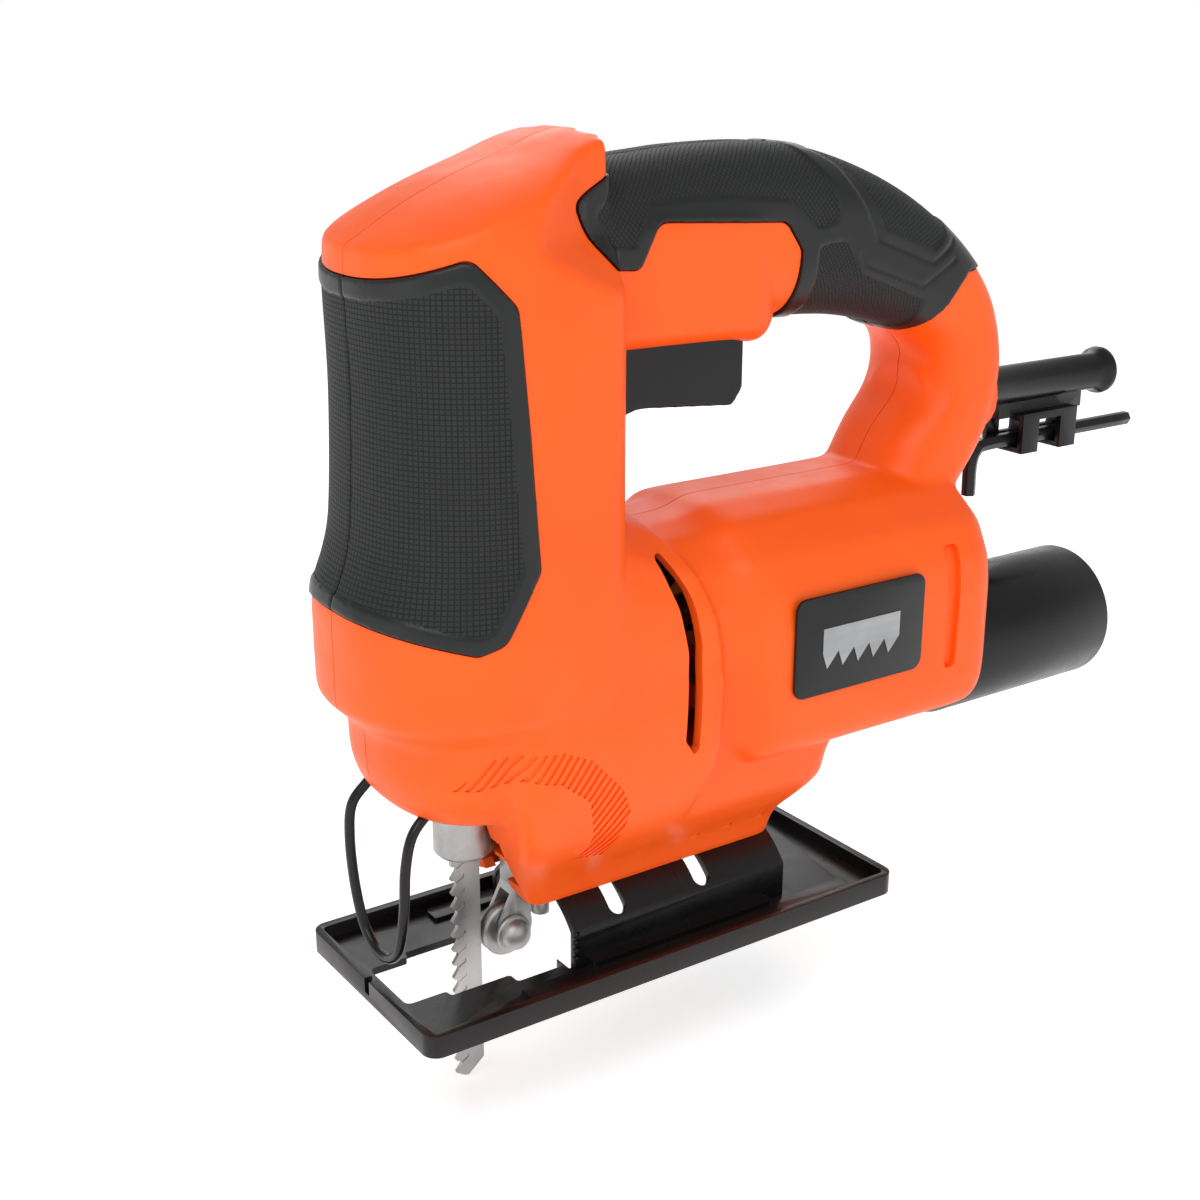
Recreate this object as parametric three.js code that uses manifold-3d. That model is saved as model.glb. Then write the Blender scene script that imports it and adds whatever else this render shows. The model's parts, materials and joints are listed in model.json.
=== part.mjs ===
// Corded jigsaw with a D-shaped handle, in millimetres, +Z up.
// The origin is where the blade's axis crosses the sole plane.
// -X is the cutting direction, +X points back along the motor, -Y is the tool's left side.
import * as THREE from 'three';
import { mergeVertices } from 'three/addons/utils/BufferGeometryUtils.js';
import Module from 'manifold-3d';

const wasm = await Module();
wasm.setup();

// ---------- driving dimensions ----------

// Clearances
const GAP = 0.3;            // between pieces that touch
const SEAM = 0.3;           // between the two housing halves
const SLIDE_FIT = 0.4;      // around a piece that slides

// Housing
const WALL = 3;
const COLUMN_FRONT = -32.6; // foremost line of the gear column
const COLUMN_REAR = 30;
const COLUMN_HALF = 33.8;
const CROWN_WIDTH = 30;     // the nose is rounded this far in from each side
const CROWN_DROP = 12;
const CHIN_BOTTOM = 45.5;
const BARREL_HALF = 36;
const BARREL_BOTTOM = 54.5;
const BARREL_TOP = 115;
const BARREL_REAR = 148;
const HANDLE_HALF = 19;
const BOSS_HALF = 20;
const HANDLE_TOP = 201.5;
const FOOT_HALF = 30;
const FOOT_REAR = 98;
const GRIP_SUNK = 1.1;      // overmould depth below the housing surface
const GRIP_PROUD = 0.9;     // and above it

// Shoe and its bevel saddle
const SHOE_FRONT = -28.3;
const SHOE_LENGTH = 147;
const SHOE_WIDTH = 64;
const SHEET = 2;
const RIM_HEIGHT = 5.8;
const RIM_WALL = 2.2;
const TILT_AXIS_Z = -1.5;
const SADDLE_RADIUS = 24.5;
const SADDLE_FRONT = 20;
const SADDLE_REAR = 88;
const SADDLE_SCREWS = [34.5, 61.5];
const WINDOW_HALF = 12.3;

// Motor and gears
const MOTOR_Z = 84;
const CRANK_Z = 104;
const PINION_TEETH = 7;
const GEAR_TEETH = 42;
const STROKE = 16;
const SHAFT_RADIUS = 4;
const CORE_RADIUS = 15.5;
const CORE_START = 76;
const CORE_LENGTH = 34;
const STACK_RADIUS = 26;
const COMMUTATOR_RADIUS = 11;
const COMMUTATOR_START = 122;
const COMMUTATOR_LENGTH = 10;
const FRONT_BEARING_X = 28.5;
const FRONT_BEARING_RADIUS = 11;
const REAR_BEARING_X = 136;
const REAR_BEARING_RADIUS = 9;
const BEARING_WIDTH = 6;
const FAN_X = 48;
const FAN_RADIUS = 22.5;
const GEAR_X = 17.5;
const GEAR_WIDTH = 7;
const PLATE_X = 29;
const PLATE_THICKNESS = 5;
const AXLE_RADIUS = 4;
const CRANK_PIN_RADIUS = 3;
const LINEAR_ERROR = 1.7;   // how far a sine strays from a straight line over a quarter turn

// Plunger and blade
const ROD_RADIUS = 4;
const ROD_TOP = 152;
const BUSH_RADIUS = 8;
const LOWER_BUSH_Z = 60;
const UPPER_BUSH_Z = 138;
const BUSH_LENGTH = 8;
const YOKE_X = 9;
const YOKE_THICKNESS = 5;
const BLADE_WIDTH = 8.2;
const BLADE_THICKNESS = 1.2;
const BLADE_TIP = -31.4;
const TOOTH_PITCH = 4;
const CLAMP_RADIUS = 7.5;
const CLAMP_BOTTOM = 33;
const CLAMP_TOP = 50;
const ROLLER_RADIUS = 7.3;
const ROLLER_Z = 8.2;
const ROLLER_HALF = 2;

// Trigger
const TRIGGER_FRONT = 33.5;
const TRIGGER_REAR = 77.5;
const TRIGGER_BOTTOM = 138.8;
const TRIGGER_HALF = 10;
const TRIGGER_TRAVEL = 6;
const BOSS_BOTTOM = 156.5;

// Rear fittings
const SLEEVE_Z = 130;
const SLEEVE_RADIUS = 5.6;
const SLEEVE_BORE = 3.4;
const SLEEVE_END = 224;
const COLLAR_RADIUS = 11.5;
const COLLAR_END = 170;
const DUST_RADIUS = 20;
const DUST_WALL = 2;
const DUST_Z = 55.8;
const DUST_END = 214.8;
const DUCT_HALF = 15;
const DUCT_BOTTOM = 41.5;
const KEY_RADIUS = 2.1;
const KEY_Z = 113.4;

const SCREW_RADIUS = 1.9;
const SCREW_HEAD_RADIUS = 3.5;
const SCREW_HEAD = 2.6;

// ---------- colours ----------

const LOOKS = {
  shell: { color: 0xff6420, roughness: 0.45, metalness: 0 },
  grip: { color: 0x2b2d2f, roughness: 0.8, metalness: 0 },
  black: { color: 0x151517, roughness: 0.5, metalness: 0 },
  blackSteel: { color: 0x1c1c1f, roughness: 0.4, metalness: 0.6 },
  steel: { color: 0xa9abac, roughness: 0.35, metalness: 1 },
  copper: { color: 0xb8703a, roughness: 0.35, metalness: 1 },
  bronze: { color: 0x9a7440, roughness: 0.45, metalness: 1 },
  carbon: { color: 0x333333, roughness: 0.7, metalness: 0.1 },
  aluminium: { color: 0xb9bcbe, roughness: 0.5, metalness: 1 },
};

// ---------- shape helpers ----------

const group = new THREE.Group();
group.name = 'jigsaw';

function solidOf(geometry) {
  const bare = geometry.clone();
  bare.deleteAttribute('normal');
  bare.deleteAttribute('uv');
  const merged = mergeVertices(bare);
  const mesh = new wasm.Mesh({
    numProp: 3,
    vertProperties: new Float32Array(merged.attributes.position.array),
    triVerts: new Uint32Array(merged.index.array),
  });
  return new wasm.Manifold(mesh);
}

function addPart(name, solid, look) {
  const mesh = solid.getMesh();
  const geometry = new THREE.BufferGeometry();
  geometry.setAttribute('position', new THREE.BufferAttribute(new Float32Array(mesh.vertProperties), 3));
  geometry.setIndex(new THREE.BufferAttribute(new Uint32Array(mesh.triVerts), 1));
  geometry.computeVertexNormals();
  const part = new THREE.Mesh(geometry, new THREE.MeshStandardMaterial(LOOKS[look]));
  part.name = name;
  group.add(part);
}

function join(...solids) {
  return solids.reduce((whole, piece) => whole.add(piece));
}

function cut(solid, ...tools) {
  return tools.reduce((rest, tool) => rest.subtract(tool), solid);
}

// Corner points [x, y, radius] to an outline whose corners are arcs, as large as the sides allow.
function filleted(corners, step = 22) {
  const points = [];
  corners.forEach(([x, y, wanted = 0], i) => {
    const corner = new THREE.Vector2(x, y);
    const before = corners[(i + corners.length - 1) % corners.length];
    const after = corners[(i + 1) % corners.length];
    const back = new THREE.Vector2(before[0] - x, before[1] - y);
    const ahead = new THREE.Vector2(after[0] - x, after[1] - y);
    const room = 0.45 * Math.min(back.length(), ahead.length());
    const half = Math.acos(THREE.MathUtils.clamp(back.normalize().dot(ahead.normalize()), -1, 1)) / 2;
    const radius = Math.min(wanted, room * Math.tan(half));
    if (radius === 0 || half > 1.5) {
      points.push(corner);
      return;
    }
    const centre = back.clone().add(ahead).normalize().multiplyScalar(radius / Math.sin(half)).add(corner);
    const start = back.clone().multiplyScalar(radius / Math.tan(half)).add(corner).sub(centre);
    const end = ahead.clone().multiplyScalar(radius / Math.tan(half)).add(corner).sub(centre);
    const turn = Math.atan2(start.cross(end), start.dot(end));
    const count = Math.max(1, Math.round(Math.abs(THREE.MathUtils.radToDeg(turn)) / step));
    for (let k = 0; k <= count; k += 1) {
      points.push(start.clone().rotateAround(new THREE.Vector2(), (turn * k) / count).add(centre));
    }
  });
  return points;
}

function box(x0, x1, y0, y1, z0, z1) {
  const geometry = new THREE.BoxGeometry(x1 - x0, y1 - y0, z1 - z0);
  geometry.translate((x0 + x1) / 2, (y0 + y1) / 2, (z0 + z1) / 2);
  return solidOf(geometry);
}

// The corners of an outline moved outward by a distance, or inward by a negative one.
function offset(corners, by) {
  const side = Math.sign(THREE.ShapeUtils.area(corners.map(([x, y]) => new THREE.Vector2(x, y))));
  return corners.map(([x, y, radius = 0], i) => {
    const before = corners[(i + corners.length - 1) % corners.length];
    const after = corners[(i + 1) % corners.length];
    const arriving = new THREE.Vector2(x - before[0], y - before[1]).normalize();
    const leaving = new THREE.Vector2(after[0] - x, after[1] - y).normalize();
    const outward = new THREE.Vector2(arriving.y + leaving.y, -arriving.x - leaving.x);
    const reach = (2 * side * by) / outward.lengthSq();
    return [x + outward.x * reach, y + outward.y * reach, radius];
  });
}

// An outline in X and Z made into a slab across Y.
function slabY(points, y0, y1) {
  const geometry = new THREE.ExtrudeGeometry(new THREE.Shape(points), { depth: y1 - y0, bevelEnabled: false });
  geometry.rotateX(Math.PI / 2);
  geometry.translate(0, y1, 0);
  return solidOf(geometry);
}

function slabZ(points, z0, z1) {
  const geometry = new THREE.ExtrudeGeometry(new THREE.Shape(points), { depth: z1 - z0, bevelEnabled: false });
  geometry.translate(0, 0, z0);
  return solidOf(geometry);
}

// Turns X, Y, Z of an extrusion into Y, Z, X, so that it runs along X.
const ALONG_X = new THREE.Matrix4().set(0, 0, 1, 0, 1, 0, 0, 0, 0, 1, 0, 0, 0, 0, 0, 1);

function slabX(points, x0, x1) {
  const geometry = new THREE.ExtrudeGeometry(new THREE.Shape(points), { depth: x1 - x0, bevelEnabled: false });
  geometry.translate(0, 0, x0);
  geometry.applyMatrix4(ALONG_X);
  return solidOf(geometry);
}

// A unit section drawn in -1..1, stretched between stations by a placing function.
function loft(section, stations, place) {
  const steps = stations.length - 1;
  const geometry = new THREE.ExtrudeGeometry(new THREE.Shape(section), { depth: steps, steps, bevelEnabled: false });
  const position = geometry.attributes.position;
  for (let i = 0; i < position.count; i += 1) {
    const station = stations[Math.round(position.getZ(i))];
    position.setXYZ(i, ...place(station, position.getX(i), position.getY(i)));
  }
  return solidOf(geometry);
}

// Level stations: [z, front, rear, half-width], with the section's first axis along X.
function levelStation([z, front, rear, half], u, v) {
  return [THREE.MathUtils.mapLinear(u, -1, 1, front, rear), v * half, z];
}

// Upright stations: [x, half-width, bottom, top], with the section's first axis along Y.
function uprightStation([x, half, bottom, top], u, v) {
  return [x, u * half, THREE.MathUtils.mapLinear(v, -1, 1, bottom, top)];
}

// Slanted stations: [inner x, inner z, outer x, outer z, half-width] across a bent bar.
function slantedStation([x0, z0, x1, z1, half], u, v) {
  return [THREE.MathUtils.mapLinear(u, -1, 1, x0, x1), -v * half, THREE.MathUtils.mapLinear(u, -1, 1, z0, z1)];
}

// A profile of [radius, height] turned about an axis: 'x', 'y' or 'z'.
function turned(profile, axis, [x, y, z], segments = 16) {
  const points = profile.map(([radius, height]) => new THREE.Vector2(radius, height));
  const geometry = new THREE.LatheGeometry(points, segments);
  if (axis === 'x') geometry.rotateZ(-Math.PI / 2);
  if (axis === 'z') geometry.rotateX(Math.PI / 2);
  geometry.translate(x, y, z);
  return solidOf(geometry);
}

function rod(axis, radius, from, to, [x, y, z], segments = 16) {
  return turned([[0, from], [radius, from], [radius, to], [0, to]], axis, [x, y, z], segments);
}

function ring(axis, outer, inner, from, to, place, segments = 16) {
  const profile = [[inner, from], [outer, from], [outer, to], [inner, to], [inner, from]];
  return turned(profile, axis, place, segments);
}

// A wire of round or six-sided section along a curve.
function wire(points, radius, sides, steps, tension = 0.5) {
  const path = new THREE.CatmullRomCurve3(points.map((p) => new THREE.Vector3(...p)), false, 'catmullrom', tension);
  const section = [];
  for (let i = 0; i < sides; i += 1) {
    const angle = (i / sides) * 2 * Math.PI;
    section.push(new THREE.Vector2(radius * Math.cos(angle), radius * Math.sin(angle)));
  }
  return solidOf(new THREE.ExtrudeGeometry(new THREE.Shape(section), { steps, extrudePath: path }));
}

// ---------- housing ----------

// Plan section of the column in -1..1: a round front and a squarer back.
function columnPlan() {
  const points = [];
  const squarer = (value) => Math.sign(value) * Math.abs(value) ** 0.84;
  for (let i = 0; i <= 8; i += 1) {
    const angle = Math.PI / 2 + (Math.PI * i) / 8;
    points.push(new THREE.Vector2(0.2 + 1.2 * squarer(Math.cos(angle)), squarer(Math.sin(angle))));
  }
  for (const side of [-1, 1]) {
    for (let i = 0; i <= 2; i += 1) {
      const angle = (side < 0 ? -Math.PI / 2 : 0) + (Math.PI * i) / 4;
      points.push(new THREE.Vector2(0.66 + 0.34 * Math.cos(angle), 0.72 * side + 0.28 * Math.sin(angle)));
    }
  }
  return points;
}

// Height, how far the front stands back, and how much narrower each side is.
const COLUMN_STATIONS = [
  [0, 27, 20],
  [3, 17, 13],
  [9.5, 9.8, 6.5],
  [18, 4, 1.8],
  [29, 0.8, -0.6],
  [41, 0, -1],
  [57.5, 0.3, -0.8],
  [67, 3.8, 0],
  [77.5, 6, 0.3],
  [105, 7.5, 0.3],
  [130, 7.1, 0.5],
  [146, 7.1, 4],
  [163, 7.1, 10],
];

function noseCrown(inset) {
  const outline = [[-90, 0], [90, 0], [90, 214], [34, 207.8], [14.3, 202], [-6.3, 194.2], [-27, 183], [-90, 146]];
  const geometry = new THREE.ExtrudeGeometry(new THREE.Shape(outline.map((p) => new THREE.Vector2(...p))), {
    depth: 2 * (COLUMN_HALF - inset - CROWN_WIDTH) + 6,
    bevelThickness: CROWN_WIDTH,
    bevelSize: CROWN_DROP,
    bevelOffset: -CROWN_DROP - inset,
    bevelSegments: 4,
  });
  geometry.rotateX(Math.PI / 2);
  geometry.translate(0, COLUMN_HALF - inset - CROWN_WIDTH + 3, 0);
  return solidOf(geometry);
}

function columnSolid(inset) {
  const stations = COLUMN_STATIONS.map(([height, setback, narrower], i) => {
    const z = CHIN_BOTTOM + height + (i === 0 ? inset : 0);
    return [z, COLUMN_FRONT + setback + inset, COLUMN_REAR - inset, COLUMN_HALF - narrower - inset];
  });
  return loft(columnPlan(), stations, levelStation).intersect(noseCrown(inset));
}

function barrelSection() {
  const half = [
    [0.28, 1], [0.56, 0.9], [0.84, 0.66], [0.97, 0.36], [1, 0.1],
    [1, -0.52], [0.95, -0.76], [0.8, -0.93], [0.6, -1],
  ];
  const right = half.map(([y, z]) => new THREE.Vector2(y, z));
  const left = half.map(([y, z]) => new THREE.Vector2(-y, z)).reverse();
  return [...right, ...left].reverse();
}

// Distance back from the front of the barrel block, and how far it is narrower, lower and higher.
const BARREL_STATIONS = [
  [18, 3.5, 4, -4],
  [38, 3.5, 4, -2.5],
  [50, 3.5, 3.5, 1],
  [60, 3.2, 2, 1.4],
  [70, 0.4, 0, 0],
  [BARREL_REAR - 10, 0, 0, 0],
  [BARREL_REAR - 3.5, 1.8, 1.8, 1.8],
  [BARREL_REAR, 6, 6, 6],
];

function barrelSolid(inset) {
  const stations = BARREL_STATIONS.map(([x, narrower, rise, drop], i) => {
    const half = BARREL_HALF - narrower - inset;
    const place = x - (i === BARREL_STATIONS.length - 1 ? inset : 0);
    return [place, half, BARREL_BOTTOM + rise + inset, BARREL_TOP - drop - inset];
  });
  return loft(barrelSection(), stations, uprightStation);
}

// A rounded rectangle in -1..1, whose corners take up a share of each side.
function cushion(share, step = 30) {
  return filleted([[-1, -1, share], [1, -1, share], [1, 1, share], [-1, 1, share]], step);
}

// The handle bends round the opening: each station has its inner and its outer point in X and Z.
const HANDLE_STATIONS = [
  [20, 161, 20, 198],
  [46, 160.5, 46, HANDLE_TOP - 1.5],
  [66, 160.5, 66, HANDLE_TOP],
  [88, 159.5, 90, HANDLE_TOP - 0.3],
  [105, 158.5, 110, HANDLE_TOP - 5],
  [119, 156, 130, HANDLE_TOP - 13.5],
  [131, 152.5, 147, HANDLE_TOP - 25],
  [139, 147, 159, 163.5],
  [141, 140, 165, 149],
  [138.5, 132.5, 166, 135],
  [130, 123, 161, 119],
  [121, 106, 145, 100],
];

// The trigger's housing hangs under the handle: x, bottom, top and how much narrower it is.
const BOSS_STATIONS = [
  [20, 0.5, 190, 0],
  [60, 0, 190, 0],
  [76, -1.8, 190, 0.8],
  [80, -0.5, 188, 2.5],
  [84, 4.5, 184, 6],
];

function handleSolid(inset) {
  const bar = HANDLE_STATIONS.map(([x0, z0, x1, z1]) => {
    const inner = new THREE.Vector2(x0, z0);
    const outer = new THREE.Vector2(x1, z1);
    const step = outer.clone().sub(inner).setLength(inset);
    inner.add(step);
    outer.sub(step);
    return [inner.x, inner.y, outer.x, outer.y, HANDLE_HALF - inset];
  });
  const boss = BOSS_STATIONS.map(([x, rise, top, narrower], i) => {
    const place = x - (i === BOSS_STATIONS.length - 1 ? inset : 0);
    return [place, BOSS_BOTTOM + rise + inset, place, top, BOSS_HALF - narrower - inset];
  });
  return loft(cushion(0.75, 45), bar, slantedStation).add(loft(cushion(0.35, 45), boss, slantedStation));
}

// Height, front, rear and half-width of the foot, from the saddle seat up.
const FOOT_STATIONS = [
  [18.4, 11.5, FOOT_REAR - 10, 16.4],
  [27.5, 7.5, FOOT_REAR - 6.5, 15.4],
  [41, 2.5, FOOT_REAR - 2, 3.5],
  [48, -1.5, FOOT_REAR, 1.2],
  [60, -4, FOOT_REAR, 0],
];

function footSolid(inset) {
  const stations = FOOT_STATIONS.map(([z, front, rear, narrower], i) => {
    const half = FOOT_HALF - narrower - inset;
    const place = z + (i === 0 ? inset : 0);
    return [place, front + inset, rear - inset, half];
  });
  return loft(cushion(0.12, 45), stations, levelStation);
}

function ductSection(half, bottom, top, radius) {
  return filleted([[-half, bottom, radius], [half, bottom, radius], [half, top], [-half, top]], 30);
}

const DUCT_ROOF = BARREL_BOTTOM - 0.5;
const DUCT_END = BARREL_REAR + 2;

const FRONT_GRIP = [
  [-45, 170.5], [-10.7, 182.9, 3], [-1.8, 172.7, 4], [0.5, 146.5, 20], [2.6, 114.6, 4],
  [-6.8, 99.4, 4], [-12.9, 97.4, 3], [-32, 102.9], [-45, 106],
];
const HANDLE_GRIP = [
  [40, 203], [19.2, 191.6, 2], [29, 176.9, 3], [38.6, 176.1, 3], [44, 186.4, 4], [82.4, 184.1, 4],
  [87.5, 177.1, 4], [86.6, 148], [128, 148], [145.1, 167.5, 3], [175, 168], [175, 215], [48, 215],
];

// The guard's wire starts in the left half, loops under the chin and ends in the right half.
const GUARD_RADIUS = 1.3;
const GUARD_ROUTE = [
  [-14, -9.5, 52], [-19.5, -10.4, 47], [-22, -11, 39], [-22.8, -11, 28], [-23.4, -9, 17.5], [-23.6, -5, 12.8],
  [-23.7, 0, 11.4], [-23.8, 5, 12.8], [-24.2, 9, 17.5], [-25, 11, 28], [-25.6, 11, 40], [-24.6, 10.8, 48.5],
  [-20, 10.2, 54],
];

// Screw places in X and Z, and how far the screw's head lies from the middle plane.
const HOUSING_SCREWS = [
  ['screw_nose', 12, 184, 24],
  ['screw_chin', 22, 74, 24],
  ['screw_handle', 96, 179, 13],
  ['screw_post', 147, 158, 12],
  ['screw_barrel_rear', 141, 66, 22],
  ['screw_foot', 84, 36, 13],
];

function bodySolid(inset) {
  return join(columnSolid(inset), barrelSolid(inset), handleSolid(inset), footSolid(inset));
}

const RIB_ROOT = 0.6;       // how far ribs and screw posts run into the wall
const ribRoom = bodySolid(WALL - RIB_ROOT);

// A wall across the hollow inside, open around the piece that it holds.
function rib(x0, x1, z0, z1) {
  return ribRoom.intersect(box(x0, x1, -60, 60, z0, z1));
}

function ribs() {
  const lowerBush = rib(-40, GEAR_X - 1, LOWER_BUSH_Z + 1, LOWER_BUSH_Z + BUSH_LENGTH - 1);
  const upperBush = rib(-40, COLUMN_REAR, UPPER_BUSH_Z + 1, UPPER_BUSH_Z + BUSH_LENGTH - 1);
  const plateX = PLATE_X + PLATE_THICKNESS + GAP;
  const plateRib = rib(plateX, plateX + 2.5, 57, 112);
  const rearRib = rib(REAR_BEARING_X + 0.5, REAR_BEARING_X + BEARING_WIDTH - 1, 50, 120);
  const stackRibs = [CORE_START + 3, CORE_START + CORE_LENGTH - 6].map((x) => rib(x, x + 2.5, 50, 120));
  const bushBore = rod('z', BUSH_RADIUS + GAP, 50, 160, [0, 0, 0]);
  const plateBore = rod('x', FRONT_BEARING_RADIUS + 2, 20, 45, [0, 0, MOTOR_Z]);
  const axleBore = rod('x', AXLE_RADIUS + GAP, 20, 45, [0, 0, CRANK_Z]);
  const rearBore = rod('x', REAR_BEARING_RADIUS + GAP, 130, 150, [0, 0, MOTOR_Z]);
  const stackBore = rod('x', STACK_RADIUS + GAP, 70, 120, [0, 0, MOTOR_Z], 20);
  return join(
    cut(lowerBush, bushBore),
    cut(upperBush, bushBore),
    cut(plateRib, plateBore, axleBore),
    cut(rearRib, rearBore),
    cut(join(...stackRibs), stackBore),
  );
}

function ventSlot(side) {
  const outline = filleted([[42.6, 106, 1.4], [45.6, 106, 1.4], [49.5, 88, 8], [48.4, 60, 1.4], [45.2, 60, 1.4],
    [46.2, 88, 8]], 30);
  const [y0, y1] = side < 0 ? [-60, -18] : [18, 60];
  return slabY(outline, y0, y1);
}

function rearGroove(side) {
  const outline = filleted([[129, 98, 1.4], [132.4, 98, 1.4], [132.4, 66, 1.4], [129, 66, 1.4]]);
  const depth = BARREL_HALF - 1.4;
  const [y0, y1] = side < 0 ? [-60, -depth] : [depth, 60];
  return slabY(outline, y0, y1);
}

function screwPosts() {
  return HOUSING_SCREWS.map(([, x, z]) => rod('y', SCREW_HEAD_RADIUS + GAP + 1.5, -30, 30, [x, 0, z], 10));
}

function screwHoles() {
  return HOUSING_SCREWS.flatMap(([, x, z, head]) => [
    rod('y', SCREW_RADIUS + GAP + 0.1, -9, 60, [x, 0, z], 8),
    rod('y', SCREW_HEAD_RADIUS + GAP, head - SCREW_HEAD - GAP, 60, [x, 0, z], 12),
  ]);
}

function gripBand(outer, inner, outline) {
  return cut(outer, inner).intersect(slabY(filleted(outline), -60, 60));
}

function grown(outline, by) {
  return slabY(filleted(offset(outline, by)), -60, 60);
}

function housingShell() {
  const duct = slabX(ductSection(DUCT_HALF, DUCT_BOTTOM, BARREL_BOTTOM + 3, 6), FOOT_REAR - 8, DUCT_END);
  const collar = rod('x', COLLAR_RADIUS, 145, COLLAR_END, [0, 0, SLEEVE_Z], 14);
  const outer = join(bodySolid(0), duct, collar);
  const posts = join(...screwPosts()).intersect(ribRoom);
  let shell = cut(outer, bodySolid(WALL)).add(ribs()).add(posts);
  const ductBore = slabX(
    ductSection(DUCT_HALF - WALL, DUCT_BOTTOM + WALL, DUCT_ROOF, 3), FOOT_REAR - 12, DUCT_END + 1);
  const seat = rod('x', SADDLE_RADIUS + GAP, -10, 130, [0, 0, TILT_AXIS_Z], 30);
  const rollerMouth = box(-10, 19.5, -6.2, 6.2, 10, 34);
  const plungerWell = rod('z', CLAMP_RADIUS + 1, 10, CLAMP_TOP + STROKE / 2 + 1, [0, 0, 0]);
  const sleeveBore = rod('x', SLEEVE_RADIUS + GAP, 140, 180, [0, 0, SLEEVE_Z]);
  const guardRoom = wire(GUARD_ROUTE, GUARD_RADIUS + GAP, 8, 28);
  const triggerHole = box(TRIGGER_FRONT - SLIDE_FIT, TRIGGER_REAR + SLIDE_FIT, -TRIGGER_HALF - SLIDE_FIT,
    TRIGGER_HALF + SLIDE_FIT, TRIGGER_BOTTOM, BOSS_BOTTOM + WALL + 2);
  const saddleScrews = SADDLE_SCREWS.map((x) => rod('z', SCREW_RADIUS + GAP, 10, 36, [x, 0, 0], 12));
  shell = cut(shell, ductBore, seat, rollerMouth, plungerWell, sleeveBore, guardRoom, triggerHole, ...screwHoles(),
    ...saddleScrews, ventSlot(-1), ventSlot(1), rearGroove(-1), rearGroove(1));
  const sunk = GRIP_SUNK + GAP;
  const frontRecess = cut(grown(FRONT_GRIP, GAP), columnSolid(sunk), box(COLUMN_REAR, 400, -80, 80, 0, 300));
  const handleRecess = cut(grown(HANDLE_GRIP, GAP), bodySolid(sunk));
  return cut(shell, frontRecess, handleRecess);
}

const shell = housingShell();
const leftSide = box(-100, 300, -80, -SEAM / 2, -10, 260);
const rightSide = box(-100, 300, SEAM / 2, 80, -10, 260);
addPart('housing_left', shell.intersect(leftSide), 'shell');
addPart('housing_right', shell.intersect(rightSide), 'shell');

function addGrips() {
  const frontSkin = gripBand(columnSolid(-GRIP_PROUD), columnSolid(GRIP_SUNK), FRONT_GRIP);
  const handleSkin = gripBand(bodySolid(-GRIP_PROUD), bodySolid(GRIP_SUNK), HANDLE_GRIP);
  addPart('front_grip_left', frontSkin.intersect(leftSide), 'grip');
  addPart('front_grip_right', frontSkin.intersect(rightSide), 'grip');
  addPart('handle_grip_left', handleSkin.intersect(leftSide), 'grip');
  addPart('handle_grip_right', handleSkin.intersect(rightSide), 'grip');
}
addGrips();

// ---------- housing screws and badges ----------

function screw(axis, place, headFrom, tipFrom, segments = 8) {
  const side = Math.sign(headFrom - tipFrom);
  const profile = [[0, headFrom], [0, tipFrom], [SCREW_RADIUS, tipFrom], [SCREW_RADIUS, headFrom - side * SCREW_HEAD],
    [SCREW_HEAD_RADIUS, headFrom - side * SCREW_HEAD], [SCREW_HEAD_RADIUS, headFrom]];
  const closed = [...profile.slice(1), [0, headFrom]];
  return turned(side > 0 ? closed : closed.reverse(), axis, place, segments);
}

for (const [name, x, z, head] of HOUSING_SCREWS) {
  addPart(name, screw('y', [x, 0, z], head, -8), 'steel');
}

const BADGE = { x: 96.4, z: 81.5, length: 44, height: 27, thickness: 1.2 };

function badge(side) {
  const corner = 5;
  const outline = filleted([
    [BADGE.x - BADGE.length / 2, BADGE.z - BADGE.height / 2, corner],
    [BADGE.x + BADGE.length / 2, BADGE.z - BADGE.height / 2, corner],
    [BADGE.x + BADGE.length / 2, BADGE.z + BADGE.height / 2, corner],
    [BADGE.x - BADGE.length / 2, BADGE.z + BADGE.height / 2, corner],
  ], 30);
  const near = BARREL_HALF + 0.1;
  return side < 0 ? slabY(outline, -near - BADGE.thickness, -near) : slabY(outline, near, near + BADGE.thickness);
}
addPart('badge_left', badge(-1), 'black');
addPart('badge_right', badge(1), 'black');

// ---------- switch and trigger ----------

const FLANGE_Z = BOSS_BOTTOM + WALL + 0.9;
const FLANGE = 2;
const SWITCH_Z = FLANGE_Z + FLANGE + TRIGGER_TRAVEL + 0.8;
const SWITCH_TOP = SWITCH_Z + 19;
const SPRING_X = 52;
const SPRING_RADIUS = 3.2;

function triggerSolid() {
  const outline = filleted([
    [TRIGGER_FRONT, TRIGGER_BOTTOM - 1.5, 1.5], [TRIGGER_FRONT + 12, TRIGGER_BOTTOM + 2.6, 12],
    [TRIGGER_REAR - 3, TRIGGER_BOTTOM, 2], [TRIGGER_REAR, TRIGGER_BOTTOM + 4, 2],
    [TRIGGER_REAR, FLANGE_Z], [TRIGGER_FRONT, FLANGE_Z],
  ], 30);
  const flange = box(TRIGGER_FRONT - 1.5, TRIGGER_REAR + 1.5, -TRIGGER_HALF - 1.2, TRIGGER_HALF + 1.2,
    FLANGE_Z - 0.01, FLANGE_Z + FLANGE);
  return slabY(outline, -TRIGGER_HALF, TRIGGER_HALF).add(flange);
}
addPart('trigger', triggerSolid(), 'black');
addPart('trigger_spring', ring('z', SPRING_RADIUS, SPRING_RADIUS - 1, FLANGE_Z + FLANGE + GAP, SWITCH_Z + 8,
  [SPRING_X, 0, 0], 12), 'steel');
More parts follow.
